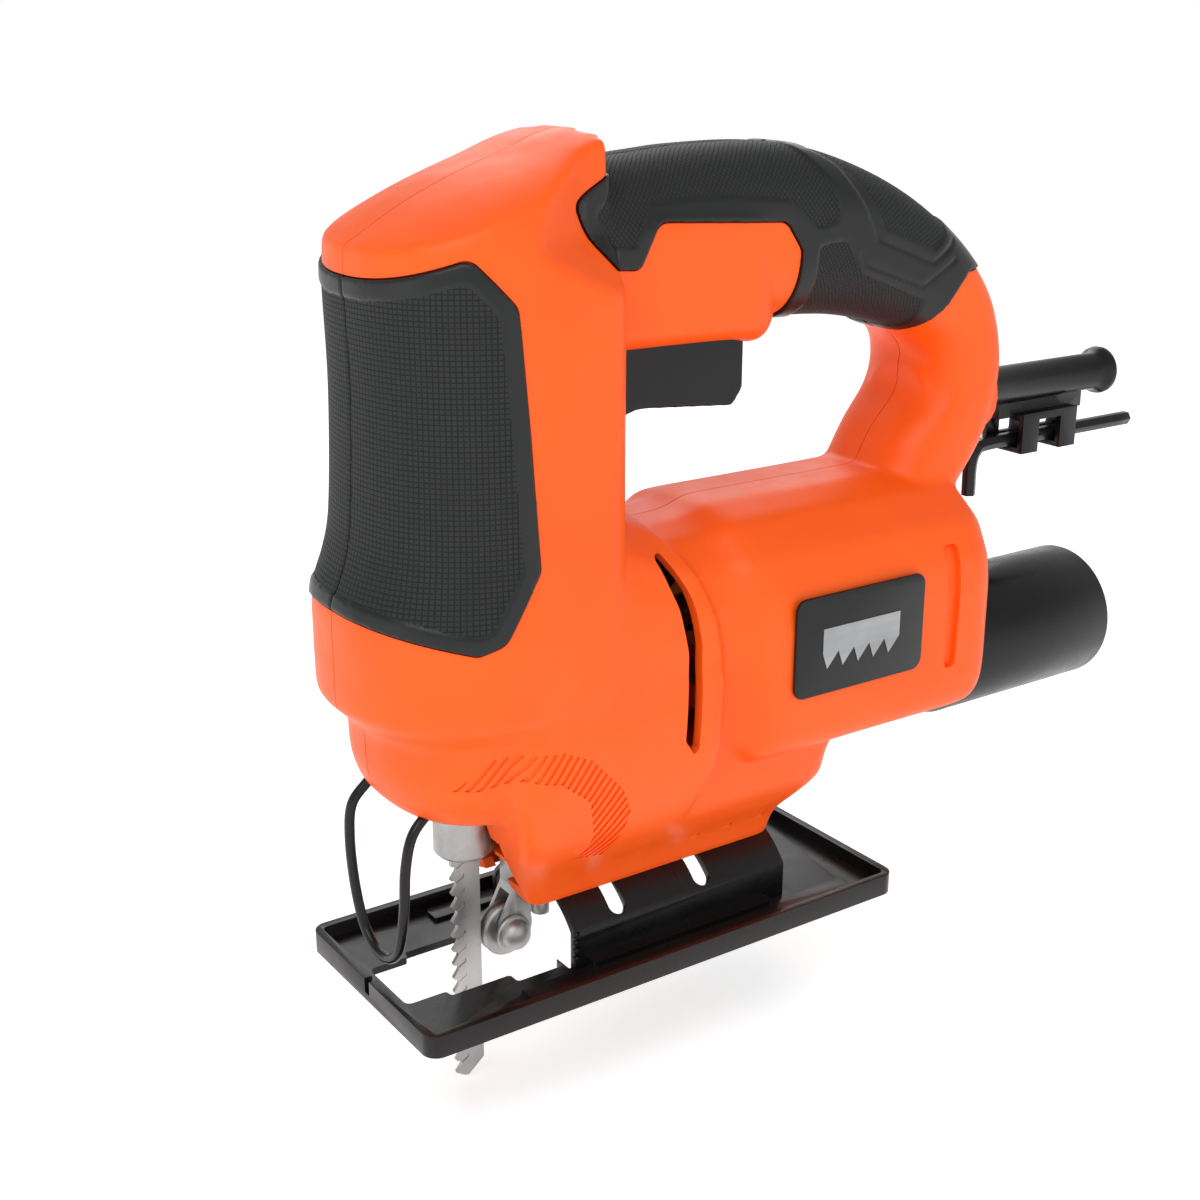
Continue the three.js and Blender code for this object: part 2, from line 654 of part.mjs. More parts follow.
addPart('switch_module', cut(
  box(TRIGGER_FRONT + 5, TRIGGER_REAR + 5, -10, 10, SWITCH_Z, SWITCH_TOP),
  rod('z', SPRING_RADIUS + 0.6, SWITCH_Z - 1, SWITCH_Z + 8 + TRIGGER_TRAVEL + 1, [SPRING_X, 0, 0], 16),
), 'black');

// ---------- motor ----------

const motor = [0, 0, MOTOR_Z];
const SHAFT_END = REAR_BEARING_X + BEARING_WIDTH;
const SHAFT_START = GEAR_X + GEAR_WIDTH + 1.5;
const WINDING_LENGTH = 8;

addPart('armature_shaft', rod('x', SHAFT_RADIUS, SHAFT_START, SHAFT_END, motor, 16), 'steel');

function laminationOutline(radius, slots) {
  const points = [];
  for (let i = 0; i < slots; i += 1) {
    const middle = (i / slots) * 2 * Math.PI;
    for (const [share, reach] of [[-0.36, 1], [0, 1], [0.36, 1], [0.4, 0.72], [0.6, 0.72]]) {
      const angle = middle + (share * 2 * Math.PI) / slots;
      points.push(new THREE.Vector2(radius * reach * Math.cos(angle), radius * reach * Math.sin(angle)));
    }
  }
  return points;
}

const shaftRoom = rod('x', SHAFT_RADIUS + GAP, 0, 200, motor, 16);
const coreEnd = CORE_START + CORE_LENGTH;
addPart('armature_core', cut(slabX(laminationOutline(CORE_RADIUS, 12), CORE_START, coreEnd)
  .translate([0, 0, MOTOR_Z]), shaftRoom), 'steel');

function windingHead(from, to) {
  const [low, high] = [Math.min(from, to), Math.max(from, to)];
  const wide = CORE_RADIUS - 1.5;
  const profile = from < to
    ? [[SHAFT_RADIUS + GAP, low], [wide, low], [wide, high - 2], [wide - 4, high], [SHAFT_RADIUS + GAP, high]]
    : [[SHAFT_RADIUS + GAP, low], [wide - 4, low], [wide, low + 2], [wide, high], [SHAFT_RADIUS + GAP, high]];
  return turned([...profile, profile[0]], 'x', motor, 14);
}
addPart('winding_front', windingHead(CORE_START - GAP, CORE_START - GAP - WINDING_LENGTH), 'copper');
addPart('winding_rear', windingHead(coreEnd + GAP, coreEnd + GAP + WINDING_LENGTH), 'copper');

const commutatorEnd = COMMUTATOR_START + COMMUTATOR_LENGTH;
addPart('commutator', ring('x', COMMUTATOR_RADIUS, SHAFT_RADIUS + GAP, COMMUTATOR_START, commutatorEnd, motor, 16),
  'copper');

function fanSolid() {
  const disc = rod('x', FAN_RADIUS, FAN_X, FAN_X + 1.6, [0, 0, 0], 16);
  const hub = rod('x', SHAFT_RADIUS + 3, FAN_X, FAN_X + 8, [0, 0, 0], 16);
  const blades = [];
  for (let i = 0; i < 9; i += 1) {
    blades.push(box(FAN_X + 1, FAN_X + 8, -0.8, 0.8, SHAFT_RADIUS + 2.5, FAN_RADIUS - 1).rotate([(i * 360) / 9, 0, 0]));
  }
  return cut(join(disc, hub, ...blades).translate([0, 0, MOTOR_Z]), shaftRoom);
}
addPart('fan', fanSolid(), 'black');

const module = (2 * (CRANK_Z - MOTOR_Z)) / (PINION_TEETH + GEAR_TEETH);

// Straight-sided teeth, a little thin and a little short, so that they mesh with backlash.
function gearOutline(teeth, firstTooth) {
  const pitchRadius = (module * teeth) / 2;
  const points = [];
  for (let i = 0; i < teeth; i += 1) {
    const middle = firstTooth + (i / teeth) * 2 * Math.PI;
    const profile = [[-0.28, -1.05], [-0.1, 0.75], [0.1, 0.75], [0.28, -1.05]];
    for (const [share, height] of profile) {
      const angle = middle + (share * 2 * Math.PI) / teeth;
      const radius = pitchRadius + height * module;
      points.push(new THREE.Vector2(radius * Math.cos(angle), radius * Math.sin(angle)));
    }
  }
  return points;
}

// The pinion's tooth points up at the gear, whose own gap points down at it.
const pinionOutline = gearOutline(PINION_TEETH, Math.PI / 2);
const crankOutline = gearOutline(GEAR_TEETH, -Math.PI / 2 + Math.PI / GEAR_TEETH);
addPart('pinion', slabX(pinionOutline, GEAR_X, SHAFT_START - GAP).translate([0, 0, MOTOR_Z]), 'steel');

const throwRadius = STROKE / 2;
const crank = [0, 0, CRANK_Z];
const axleRoom = rod('x', AXLE_RADIUS + GAP, 0, 60, crank, 16);
const pinPlace = [0, throwRadius, CRANK_Z];
const pinFront = YOKE_X + GAP;
addPart('crank_gear', cut(
  slabX(crankOutline, GEAR_X, GEAR_X + GEAR_WIDTH).translate([0, 0, CRANK_Z]),
  axleRoom,
  rod('x', CRANK_PIN_RADIUS - 0.7, GEAR_X - 1, GEAR_X + GEAR_WIDTH + 1, pinPlace, 12),
), 'steel');
addPart('crank_pin', turned([[0, pinFront], [CRANK_PIN_RADIUS, pinFront], [CRANK_PIN_RADIUS, GEAR_X - GAP],
  [CRANK_PIN_RADIUS - 0.7 - GAP, GEAR_X - GAP], [CRANK_PIN_RADIUS - 0.7 - GAP, GEAR_X + GEAR_WIDTH],
  [0, GEAR_X + GEAR_WIDTH]], 'x', pinPlace, 12), 'steel');
const plateEnd = PLATE_X + PLATE_THICKNESS;
addPart('crank_axle', rod('x', AXLE_RADIUS, YOKE_X + YOKE_THICKNESS + 1.5, plateEnd + 2.5, crank, 12), 'steel');

function gearPlate() {
  const plate = slabX(filleted([[-22, 70, 4], [22, 70, 4], [22, 96, 6], [12, 110.5, 6], [-12, 110.5, 6], [-22, 96, 6]],
    30), PLATE_X, plateEnd);
  return cut(plate, axleRoom, rod('x', FRONT_BEARING_RADIUS + GAP, 20, 45, motor, 16));
}
addPart('gear_plate', gearPlate(), 'aluminium');
addPart('front_bearing', ring('x', FRONT_BEARING_RADIUS, SHAFT_RADIUS + GAP, FRONT_BEARING_X,
  FRONT_BEARING_X + BEARING_WIDTH, motor, 16), 'steel');
addPart('rear_bearing', ring('x', REAR_BEARING_RADIUS, SHAFT_RADIUS + GAP, REAR_BEARING_X,
  REAR_BEARING_X + BEARING_WIDTH, motor, 16), 'steel');

const POLE_HALF = 9;
function fieldStack() {
  const outer = rod('x', STACK_RADIUS, CORE_START, coreEnd, motor, 20);
  const bore = rod('x', CORE_RADIUS + 0.8, 0, 200, motor, 20);
  const pockets = [-1, 1].map((side) => {
    const room = box(0, 200, side < 0 ? -STACK_RADIUS + 4 : 8, side < 0 ? -8 : STACK_RADIUS - 4,
      MOTOR_Z - POLE_HALF - 4, MOTOR_Z + POLE_HALF + 4);
    return room;
  });
  return cut(outer, bore, ...pockets);
}
addPart('field_stack', fieldStack(), 'steel');

// One coil lies in each side pocket and bulges out past both ends of the stack.
function fieldCoil(side) {
  const inner = CORE_RADIUS + 1.6;
  const outer = STACK_RADIUS - 4 - GAP;
  const [y0, y1] = side < 0 ? [-outer, -inner] : [inner, outer];
  return box(CORE_START - 5, coreEnd + 5, y0, y1, MOTOR_Z - POLE_HALF - 3, MOTOR_Z + POLE_HALF + 3);
}
addPart('field_coil_left', fieldCoil(-1), 'copper');
addPart('field_coil_right', fieldCoil(1), 'copper');

const BRUSH_X = COMMUTATOR_START + COMMUTATOR_LENGTH / 2;
function brush(side) {
  const [y0, y1] = side < 0 ? [-22, -COMMUTATOR_RADIUS - GAP] : [COMMUTATOR_RADIUS + GAP, 22];
  return box(BRUSH_X - 3, BRUSH_X + 3, y0, y1, MOTOR_Z - 3.5, MOTOR_Z + 3.5);
}
function brushHolder(side) {
  const [y0, y1] = side < 0 ? [-26, -14] : [14, 26];
  const body = box(BRUSH_X - 5, BRUSH_X + 5, y0, y1, MOTOR_Z - 5.5, MOTOR_Z + 5.5);
  return cut(body, box(BRUSH_X - 3 - GAP, BRUSH_X + 3 + GAP, -40, 40, MOTOR_Z - 3.5 - GAP, MOTOR_Z + 3.5 + GAP));
}
addPart('brush_left', brush(-1), 'carbon');
addPart('brush_right', brush(1), 'carbon');
addPart('brush_holder_left', brushHolder(-1), 'bronze');
addPart('brush_holder_right', brushHolder(1), 'bronze');

// ---------- plunger and blade ----------

function plungerSolid() {
  const spindle = rod('z', ROD_RADIUS, CLAMP_TOP - 4.5, ROD_TOP, [0, 0, 0], 16);
  const web = box(-ROD_RADIUS, YOKE_X + 0.2, -ROD_RADIUS, ROD_RADIUS, CRANK_Z - 6, CRANK_Z + 6);
  const sideReach = throwRadius + CRANK_PIN_RADIUS + 1;
  const slotHalf = CRANK_PIN_RADIUS + LINEAR_ERROR + GAP;
  const plate = slabX(filleted([
    [-sideReach - 4, CRANK_Z - slotHalf - 4, 3], [sideReach + 4, CRANK_Z - slotHalf - 4, 3],
    [sideReach + 4, CRANK_Z + slotHalf + 4, 3], [-sideReach - 4, CRANK_Z + slotHalf + 4, 3],
  ], 30), YOKE_X, YOKE_X + YOKE_THICKNESS);
  const slot = box(YOKE_X - 0.01, YOKE_X + YOKE_THICKNESS + 1, -sideReach, sideReach,
    CRANK_Z - slotHalf, CRANK_Z + slotHalf);
  return join(spindle, web, cut(plate, slot));
}
addPart('plunger', plungerSolid(), 'steel');
addPart('plunger_bush_lower', ring('z', BUSH_RADIUS, ROD_RADIUS + GAP, LOWER_BUSH_Z, LOWER_BUSH_Z + BUSH_LENGTH,
  [0, 0, 0], 16), 'bronze');
addPart('plunger_bush_upper', ring('z', BUSH_RADIUS, ROD_RADIUS + GAP, UPPER_BUSH_Z, UPPER_BUSH_Z + BUSH_LENGTH,
  [0, 0, 0], 16), 'bronze');

const bladeTop = CLAMP_TOP - 6;
const slotRoom = 0.35;
function bladeClamp() {
  const body = rod('z', CLAMP_RADIUS, CLAMP_BOTTOM, CLAMP_TOP, [0, 0, 0], 16);
  const rodRoom = rod('z', ROD_RADIUS + GAP, CLAMP_TOP - 4.5 - GAP, CLAMP_TOP + 1, [0, 0, 0], 16);
  const bladeRoom = box(-BLADE_WIDTH / 2 - slotRoom, BLADE_WIDTH / 2 + slotRoom, -BLADE_THICKNESS / 2 - slotRoom,
    BLADE_THICKNESS / 2 + slotRoom, CLAMP_BOTTOM - 1, bladeTop + GAP);
  const screwRoom = rod('y', 2.3, 0, 20, [0, 0, CLAMP_BOTTOM + 6], 12);
  return cut(body, rodRoom, bladeRoom, screwRoom);
}
addPart('blade_clamp', bladeClamp(), 'steel');
addPart('clamp_screw', rod('y', 2, BLADE_THICKNESS / 2 + GAP, CLAMP_RADIUS - 0.2, [0, 0, CLAMP_BOTTOM + 6], 12),
  'steel');

function bladeSolid() {
  const front = -BLADE_WIDTH / 2;
  const back = BLADE_WIDTH / 2;
  const points = [[back, bladeTop], [front, bladeTop]];
  const first = CLAMP_BOTTOM - 3;
  const count = Math.floor((first - BLADE_TIP) / TOOTH_PITCH);
  for (let i = 0; i < count; i += 1) {
    points.push([front + 1.5, first - i * TOOTH_PITCH], [front, first - (i + 1) * TOOTH_PITCH + 0.4]);
  }
  points.push([front + 2.5, BLADE_TIP + 0.3], [front + 3.5, BLADE_TIP], [back, BLADE_TIP + 4]);
  const outline = points.map((p) => new THREE.Vector2(...p));
  return slabY(outline, -BLADE_THICKNESS / 2, BLADE_THICKNESS / 2);
}
addPart('blade', bladeSolid(), 'steel');

// ---------- support roller and wire guard ----------

const ROLLER_X = BLADE_WIDTH / 2 + 0.2 + ROLLER_RADIUS;
const rollerPlace = [ROLLER_X, 0, ROLLER_Z];
const cheekInner = ROLLER_HALF + GAP;
const cheekOuter = cheekInner + 1.2;
const boltHead = cheekOuter + GAP;
addPart('support_roller', ring('y', ROLLER_RADIUS, 2 + GAP, -ROLLER_HALF, ROLLER_HALF, rollerPlace, 16), 'steel');
addPart('roller_bolt', turned([[0, -boltHead - 2], [3.4, -boltHead - 2], [3.4, -boltHead], [2, -boltHead],
  [2, cheekOuter + 0.6], [0, cheekOuter + 0.6]], 'y', rollerPlace, 12), 'steel');

function rollerBracket() {
  const outline = filleted([[ROLLER_X - 3.6, ROLLER_Z - 3.6, 2], [ROLLER_X + 3.4, ROLLER_Z - 3.6, 2],
    [19, 17, 2], [19, 30], [12.5, 30], [12.5, 20, 3], [ROLLER_X - 3.6, ROLLER_Z + 3, 2]], 30);
  const cheeks = [slabY(outline, -cheekOuter, -cheekInner), slabY(outline, cheekInner, cheekOuter)];
  const bridge = box(12.5, 19, -cheekOuter, cheekOuter, ROLLER_Z + ROLLER_RADIUS + 3, 30);
  const hole = rod('y', 2 + GAP, -10, 10, rollerPlace, 12);
  return cut(join(...cheeks, bridge), hole);
}
addPart('roller_bracket', rollerBracket(), 'steel');

addPart('wire_guard', wire(GUARD_ROUTE, GUARD_RADIUS, 8, 28), 'blackSteel');

// ---------- shoe ----------

function shoeOutline(inset) {
  const x0 = SHOE_FRONT + inset;
  const x1 = SHOE_FRONT + SHOE_LENGTH - inset;
  const half = SHOE_WIDTH / 2 - inset;
  const round = 4 - inset;
  return filleted([[x0, -half, round], [x1, -half, round], [x1, half, round], [x0, half, round]], 30);
}

function saddleSector(inner, outer, halfAngle, steps) {
  const points = [];
  for (let i = 0; i <= steps; i += 1) {
    const angle = -halfAngle + (2 * halfAngle * i) / steps;
    points.push(new THREE.Vector2(outer * Math.sin(angle), TILT_AXIS_Z + outer * Math.cos(angle)));
  }
  for (let i = steps; i >= 0; i -= 1) {
    const angle = -halfAngle + (2 * halfAngle * i) / steps;
    points.push(new THREE.Vector2(inner * Math.sin(angle), TILT_AXIS_Z + inner * Math.cos(angle)));
  }
  return points;
}

const SLOT_HALF_ANGLE = THREE.MathUtils.degToRad(52);
const SLOT_HALF = SCREW_RADIUS + 0.7;

function shoeSolid() {
  const tray = cut(slabZ(shoeOutline(0), 0, RIM_HEIGHT), slabZ(shoeOutline(RIM_WALL), SHEET, RIM_HEIGHT + 1));
  const windowOutline = filleted([[-22.6, -10, 1.5], [-11.5, -10, 1], [-11.5, -WINDOW_HALF, 1], [26, -WINDOW_HALF],
    [26, WINDOW_HALF], [-11.5, WINDOW_HALF, 1], [-11.5, 10, 1], [-22.6, 10, 1.5]], 45);
  const window = slabZ(windowOutline, -1, SHEET + 1);
  const saddle = rod('x', SADDLE_RADIUS, SADDLE_FRONT, SADDLE_REAR, [0, 0, TILT_AXIS_Z], 30);
  const tunnel = rod('x', SADDLE_RADIUS - SHEET, SADDLE_FRONT - 0.5, SADDLE_REAR + 0.5, [0, 0, TILT_AXIS_Z], 30);
  const below = box(-100, 200, -60, 60, -60, 0);
  const flanges = [-1, 1].map((side) => {
    const [y0, y1] = side < 0 ? [-SADDLE_RADIUS - 2.5, -SADDLE_RADIUS + 3] : [SADDLE_RADIUS - 3, SADDLE_RADIUS + 2.5];
    return box(3, SADDLE_REAR + 19, y0, y1, SHEET - 0.5, SHEET + 1.2);
  });
  const slots = SADDLE_SCREWS.map((x) => slabX(
    saddleSector(SADDLE_RADIUS - SHEET - 2, SADDLE_RADIUS + 2, SLOT_HALF_ANGLE, 16), x - SLOT_HALF, x + SLOT_HALF));
  const notch = box(SHOE_FRONT - 1, SHOE_FRONT + RIM_WALL + 0.3, -1.2, 1.2, SHEET, RIM_HEIGHT + 1);
  return cut(join(tray, saddle, ...flanges), tunnel, below, window, notch, ...slots);
}
addPart('shoe', shoeSolid(), 'blackSteel');

const CLAMP_PLATE = 2;
const clampOuter = SADDLE_RADIUS - SHEET - GAP;
function saddleClamp() {
  const sector = saddleSector(clampOuter - CLAMP_PLATE, clampOuter, THREE.MathUtils.degToRad(20), 6);
  const plate = slabX(sector, SADDLE_SCREWS[0] - 6, SADDLE_SCREWS[1] + 6);
  const holes = SADDLE_SCREWS.map((x) => rod('z', SCREW_RADIUS + GAP, 0, 40, [x, 0, 0], 12));
  return cut(plate, ...holes);
}
addPart('saddle_clamp', saddleClamp(), 'steel');
const clampUnder = TILT_AXIS_Z + (clampOuter - CLAMP_PLATE) * Math.cos(0.18) - GAP;
SADDLE_SCREWS.forEach((x, i) => {
  const head = clampUnder - SCREW_HEAD;
  addPart('saddle_screw_' + (i + 1), screw('z', [x, 0, 0], head, 35), 'steel');
});

// ---------- rear fittings ----------

function sleeveSolid() {
  const tube = ring('x', SLEEVE_RADIUS, SLEEVE_BORE, 154, SLEEVE_END, [0, 0, SLEEVE_Z], 14);
  const lip = ring('x', SLEEVE_RADIUS + 1.4, SLEEVE_BORE, SLEEVE_END - 3, SLEEVE_END, [0, 0, SLEEVE_Z], 14);
  const collar = ring('x', SLEEVE_RADIUS + 1.4, SLEEVE_BORE, COLLAR_END + GAP, COLLAR_END + 3, [0, 0, SLEEVE_Z], 14);
  return join(tube, lip, collar, cut(clipSolid(), rod('x', SLEEVE_BORE + 1, 150, 240, [0, 0, SLEEVE_Z], 14)));
}

const CLIP_START = 180;
const CLIP_END = 215;
const KEY_ROOM = 0.6;

// A web under the sleeve, with hooks that hold the hexagon key from alternate sides.
function clipSolid() {
  const webBottom = KEY_Z + KEY_RADIUS + KEY_ROOM;
  const web = box(CLIP_START, CLIP_END, -1, 1, webBottom, SLEEVE_Z - SLEEVE_RADIUS + 1.5);
  const reach = KEY_RADIUS + KEY_ROOM;
  const hooks = [0, 1, 2].flatMap((i) => {
    const side = i % 2 === 0 ? -1 : 1;
    const x = CLIP_START + i * 13.5;
    const y = (a, b) => (side < 0 ? [-b, -a] : [a, b]);
    return [
      box(x, x + 8, ...y(-1, reach + 1.6), webBottom, webBottom + 1.8),
      box(x, x + 8, ...y(reach, reach + 1.6), KEY_Z - reach - 1.6, webBottom + 1),
      box(x, x + 8, ...y(-1, reach + 1), KEY_Z - reach - 1.6, KEY_Z - reach),
    ];
  });
  const windows = [0, 1].map((i) => {
    const x = CLIP_START + 8.5 + i * 13.5;
    return box(x, x + 4.5, -5, 5, webBottom + 1.5, SLEEVE_Z - SLEEVE_RADIUS - 2);
  });
  return cut(join(web, ...hooks), ...windows);
}
addPart('cord_sleeve', sleeveSolid(), 'black');

function keySolid() {
  const bendX = 171;
  const route = [[238, 0, KEY_Z], [200, 0, KEY_Z], [bendX + 6, 0, KEY_Z], [bendX + 1.6, 0, KEY_Z - 1.6],
    [bendX, 0, KEY_Z - 6], [bendX, 0, KEY_Z - 14.5]];
  return wire(route, KEY_RADIUS, 6, 24, 0.3);
}
addPart('hex_key', keySolid(), 'blackSteel');

function dustAdaptor() {
  const start = DUCT_END + 1.3;
  const place = [0, 0, DUST_Z];
  const tube = rod('x', DUST_RADIUS, start, DUST_END, place, 24);
  const bore = rod('x', DUST_RADIUS - DUST_WALL, start + 4, DUST_END + 1, place, 24);
  const half = DUCT_HALF - WALL - SLIDE_FIT;
  const bottom = DUCT_BOTTOM + WALL + SLIDE_FIT;
  const top = DUCT_ROOF - SLIDE_FIT;
  const neck = slabX(ductSection(half, bottom, top, 3), 118, start + 5);
  const neckBore = slabX(ductSection(half - 1.6, bottom + 1.6, top - 1.6, 2), 117, start + 6);
  return cut(tube.add(neck), bore, neckBore);
}
addPart('dust_adaptor', dustAdaptor(), 'black');

export default group;
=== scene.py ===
# %% [markdown]
# # A corded jigsaw, modelled around its working frame
#
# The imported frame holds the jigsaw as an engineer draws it: every piece, its place and its joints.
# This lesson builds the surfaces that a person sees and touches around that frame, and it never
# moves a framed piece. All sizes are metres; tables of sizes are in millimetres and are scaled by MM.

# %% Load the frame
import json
import math
import bmesh
import bpy
import numpy as np
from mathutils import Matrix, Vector

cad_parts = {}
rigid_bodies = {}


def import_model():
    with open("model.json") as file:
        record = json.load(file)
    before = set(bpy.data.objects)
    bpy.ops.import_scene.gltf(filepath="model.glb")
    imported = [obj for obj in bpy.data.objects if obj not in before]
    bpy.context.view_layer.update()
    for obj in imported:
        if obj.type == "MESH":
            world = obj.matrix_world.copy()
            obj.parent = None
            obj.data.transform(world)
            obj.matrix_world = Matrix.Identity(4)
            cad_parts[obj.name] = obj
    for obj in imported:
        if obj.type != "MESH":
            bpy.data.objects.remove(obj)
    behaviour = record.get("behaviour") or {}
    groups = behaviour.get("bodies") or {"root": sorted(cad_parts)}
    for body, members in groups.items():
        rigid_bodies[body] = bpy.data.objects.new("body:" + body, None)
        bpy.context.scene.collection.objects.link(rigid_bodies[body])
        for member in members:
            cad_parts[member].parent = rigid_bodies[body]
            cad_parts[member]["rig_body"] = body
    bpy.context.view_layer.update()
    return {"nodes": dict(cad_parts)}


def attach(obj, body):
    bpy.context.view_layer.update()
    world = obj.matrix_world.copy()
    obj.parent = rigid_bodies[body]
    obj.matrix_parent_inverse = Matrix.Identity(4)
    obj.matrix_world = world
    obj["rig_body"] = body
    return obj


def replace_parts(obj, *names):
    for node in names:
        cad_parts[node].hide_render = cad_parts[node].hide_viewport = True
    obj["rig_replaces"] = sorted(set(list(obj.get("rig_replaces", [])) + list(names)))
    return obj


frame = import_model()
MM = 0.001

# %% [markdown]
# ## Camera
#
# The view is settled first, because it decides which details earn their time. A camera can be placed
# by rotation angles, or by where it stands and which way it looks. The second is easier to read, so
# the direction is built from a heading and a downward tilt and turned into a rotation.

# %% Camera
VIEW_FROM = (-188.99, -336.77, 229.29)
VIEW_HEADING = math.radians(55.634)
VIEW_TILT = math.radians(18.683)
VIEW_LENS = 51.32

heading = Vector((math.cos(VIEW_TILT) * math.cos(VIEW_HEADING),
                  math.cos(VIEW_TILT) * math.sin(VIEW_HEADING), -math.sin(VIEW_TILT)))
bpy.ops.object.camera_add(location=Vector(VIEW_FROM) * MM,
                          rotation=heading.to_track_quat("-Z", "Y").to_euler())
camera = bpy.context.object
camera.data.lens = VIEW_LENS
camera.data.clip_start = 0.01
bpy.context.scene.camera = camera
print("camera looks", [round(part, 3) for part in heading])

# %% [markdown]
# ## Working by hand, in code
#
# Blender's operators act on whatever is selected, so each helper starts from a clean selection.
# An outline becomes a solid as it would by hand: a filled circle with one point for each corner is
# added, its points are put on the corners, and the face is extruded.

# %% Selection helpers
AXES = {"x": 0, "y": 1, "z": 2}


def deselect():
    if bpy.context.object and bpy.context.object.mode != "OBJECT":
        bpy.ops.object.mode_set(mode="OBJECT")
    bpy.ops.object.select_all(action="DESELECT")


def pick(*pieces):
    deselect()
    for piece in pieces:
        piece.select_set(True)
    bpy.context.view_layer.objects.active = pieces[0]
    return pieces[0]


def points_of(piece):
    places = np.empty(len(piece.data.vertices) * 3)
    piece.data.vertices.foreach_get("co", places)
    return places.reshape(-1, 3)


def put_points(piece, places):
    piece.data.vertices.foreach_set("co", np.asarray(places, float).ravel())
    piece.data.update()


def settle(piece, name):
    """Moves a piece's place into its mesh and names it."""
    pick(piece)
    bpy.ops.object.transform_apply(location=True, rotation=True, scale=True)
    piece.name = name
    piece.data.name = name
    return piece


def face_outwards(piece):
    pick(piece)
    bpy.ops.object.mode_set(mode="EDIT")
    bpy.ops.mesh.select_all(action="SELECT")
    bpy.ops.mesh.remove_doubles(threshold=0.00001)
    bpy.ops.mesh.dissolve_degenerate(threshold=0.000005)
    bpy.ops.mesh.delete_loose()
    bpy.ops.mesh.select_all(action="SELECT")
    bpy.ops.mesh.normals_make_consistent(inside=False)
    bpy.ops.object.mode_set(mode="OBJECT")
    return piece


def drop(*pieces):
    for piece in pieces:
        bpy.data.objects.remove(piece)


# %% Modifier helpers
def apply(piece, kind, **settings):
    """Adds one modifier, sets it and applies it."""
    pick(piece)
    modifier = piece.modifiers.new(kind.title(), kind)
    for key, value in settings.items():
        setattr(modifier, key, value)
    bpy.ops.object.modifier_apply(modifier=modifier.name)
    return piece


def combine(piece, tool, operation="DIFFERENCE", keep=False):
    """Joins or cuts two closed solids."""
    before = len(piece.data.polygons)
    apply(piece, "BOOLEAN", operation=operation, object=tool, solver="MANIFOLD")
    if len(piece.data.polygons) == before:
        print("  note:", operation.lower(), "of", piece.name, "by", tool.name, "changed no faces")
    if not keep:
        drop(tool)
    return piece


def carve(piece, *tools):
    for tool in tools:
        combine(piece, tool)
    return piece


def weld(piece, *tools):
    for tool in tools:
        combine(piece, tool, "UNION")
    return piece


def copy_of(piece, name):
    twin = piece.copy()
    twin.data = piece.data.copy()
    bpy.context.collection.objects.link(twin)
    twin.name = name
    twin.data.name = name
    return twin


# %% Outline helpers
def rounded(corners, step=9):
    """Corner points [a, b, radius] in millimetres, as points whose corners are arcs."""
    outline = []
    for i, corner in enumerate(corners):
        here = Vector(corner[:2])
        wanted = corner[2] if len(corner) > 2 else 0
        back = Vector(corners[i - 1][:2]) - here
        ahead = Vector(corners[(i + 1) % len(corners)][:2]) - here
        half = back.angle(ahead) / 2
        radius = min(wanted, 0.48 * min(back.length, ahead.length) * math.tan(half))
        if radius < 0.01 or half > 1.55:
            outline.append(here)
            continue
        centre = here + (back.normalized() + ahead.normalized()).normalized() * (radius / math.sin(half))
        start = here + back.normalized() * (radius / math.tan(half)) - centre
        end = here + ahead.normalized() * (radius / math.tan(half)) - centre
        turn = -start.angle_signed(end)
        count = max(2, round(abs(math.degrees(turn)) / step))
        for k in range(count + 1):
            angle = turn * k / count
            outline.append(centre + Vector((start.x * math.cos(angle) - start.y * math.sin(angle),
                                            start.x * math.sin(angle) + start.y * math.cos(angle))))
    return [tuple(point) for point in outline]


def widened(corners, by):
    """An outline whose sides move outwards by a distance, or inwards by a negative one."""
    area = sum(a[0] * b[1] - b[0] * a[1] for a, b in zip(corners, corners[1:] + corners[:1]))
    side = 1 if area > 0 else -1
    moved = []
    for i, corner in enumerate(corners):
        before, after = corners[i - 1], corners[(i + 1) % len(corners)]
        arriving = Vector((corner[0] - before[0], corner[1] - before[1])).normalized()
        leaving = Vector((after[0] - corner[0], after[1] - corner[1])).normalized()
        outward = Vector((arriving.y + leaving.y, -arriving.x - leaving.x))
        reach = 2 * side * by / outward.length_squared
        moved.append([corner[0] + outward.x * reach, corner[1] + outward.y * reach, *corner[2:]])
    return moved


# %% Solid helpers
# The plane that an outline is drawn on: its first and second axis, and the axis it is extruded along.
PLANES = {"x": (1, 2, 0), "y": (0, 2, 1), "z": (0, 1, 2)}


def plate(name, outline, axis, start, end):
    """A filled outline in millimetres, extruded along an axis from start to end."""
    deselect()
    bpy.ops.mesh.primitive_circle_add(vertices=len(outline), radius=1, fill_type="NGON")
    piece = bpy.context.object
    first, second, along = PLANES[axis]
    places = np.zeros((len(outline), 3))
    places[:, first] = [point[0] for point in outline]
    places[:, second] = [point[1] for point in outline]
    places[:, along] = start
    put_points(piece, places * MM)
    bpy.ops.object.mode_set(mode="EDIT")
    bpy.ops.mesh.select_all(action="SELECT")
    travel = [0, 0, 0]
    travel[along] = (end - start) * MM
    bpy.ops.mesh.extrude_region_move(TRANSFORM_OT_translate={"value": travel})
    bpy.ops.mesh.select_all(action="SELECT")
    bpy.ops.mesh.normals_make_consistent(inside=False)
    bpy.ops.object.mode_set(mode="OBJECT")
    return settle(piece, name)


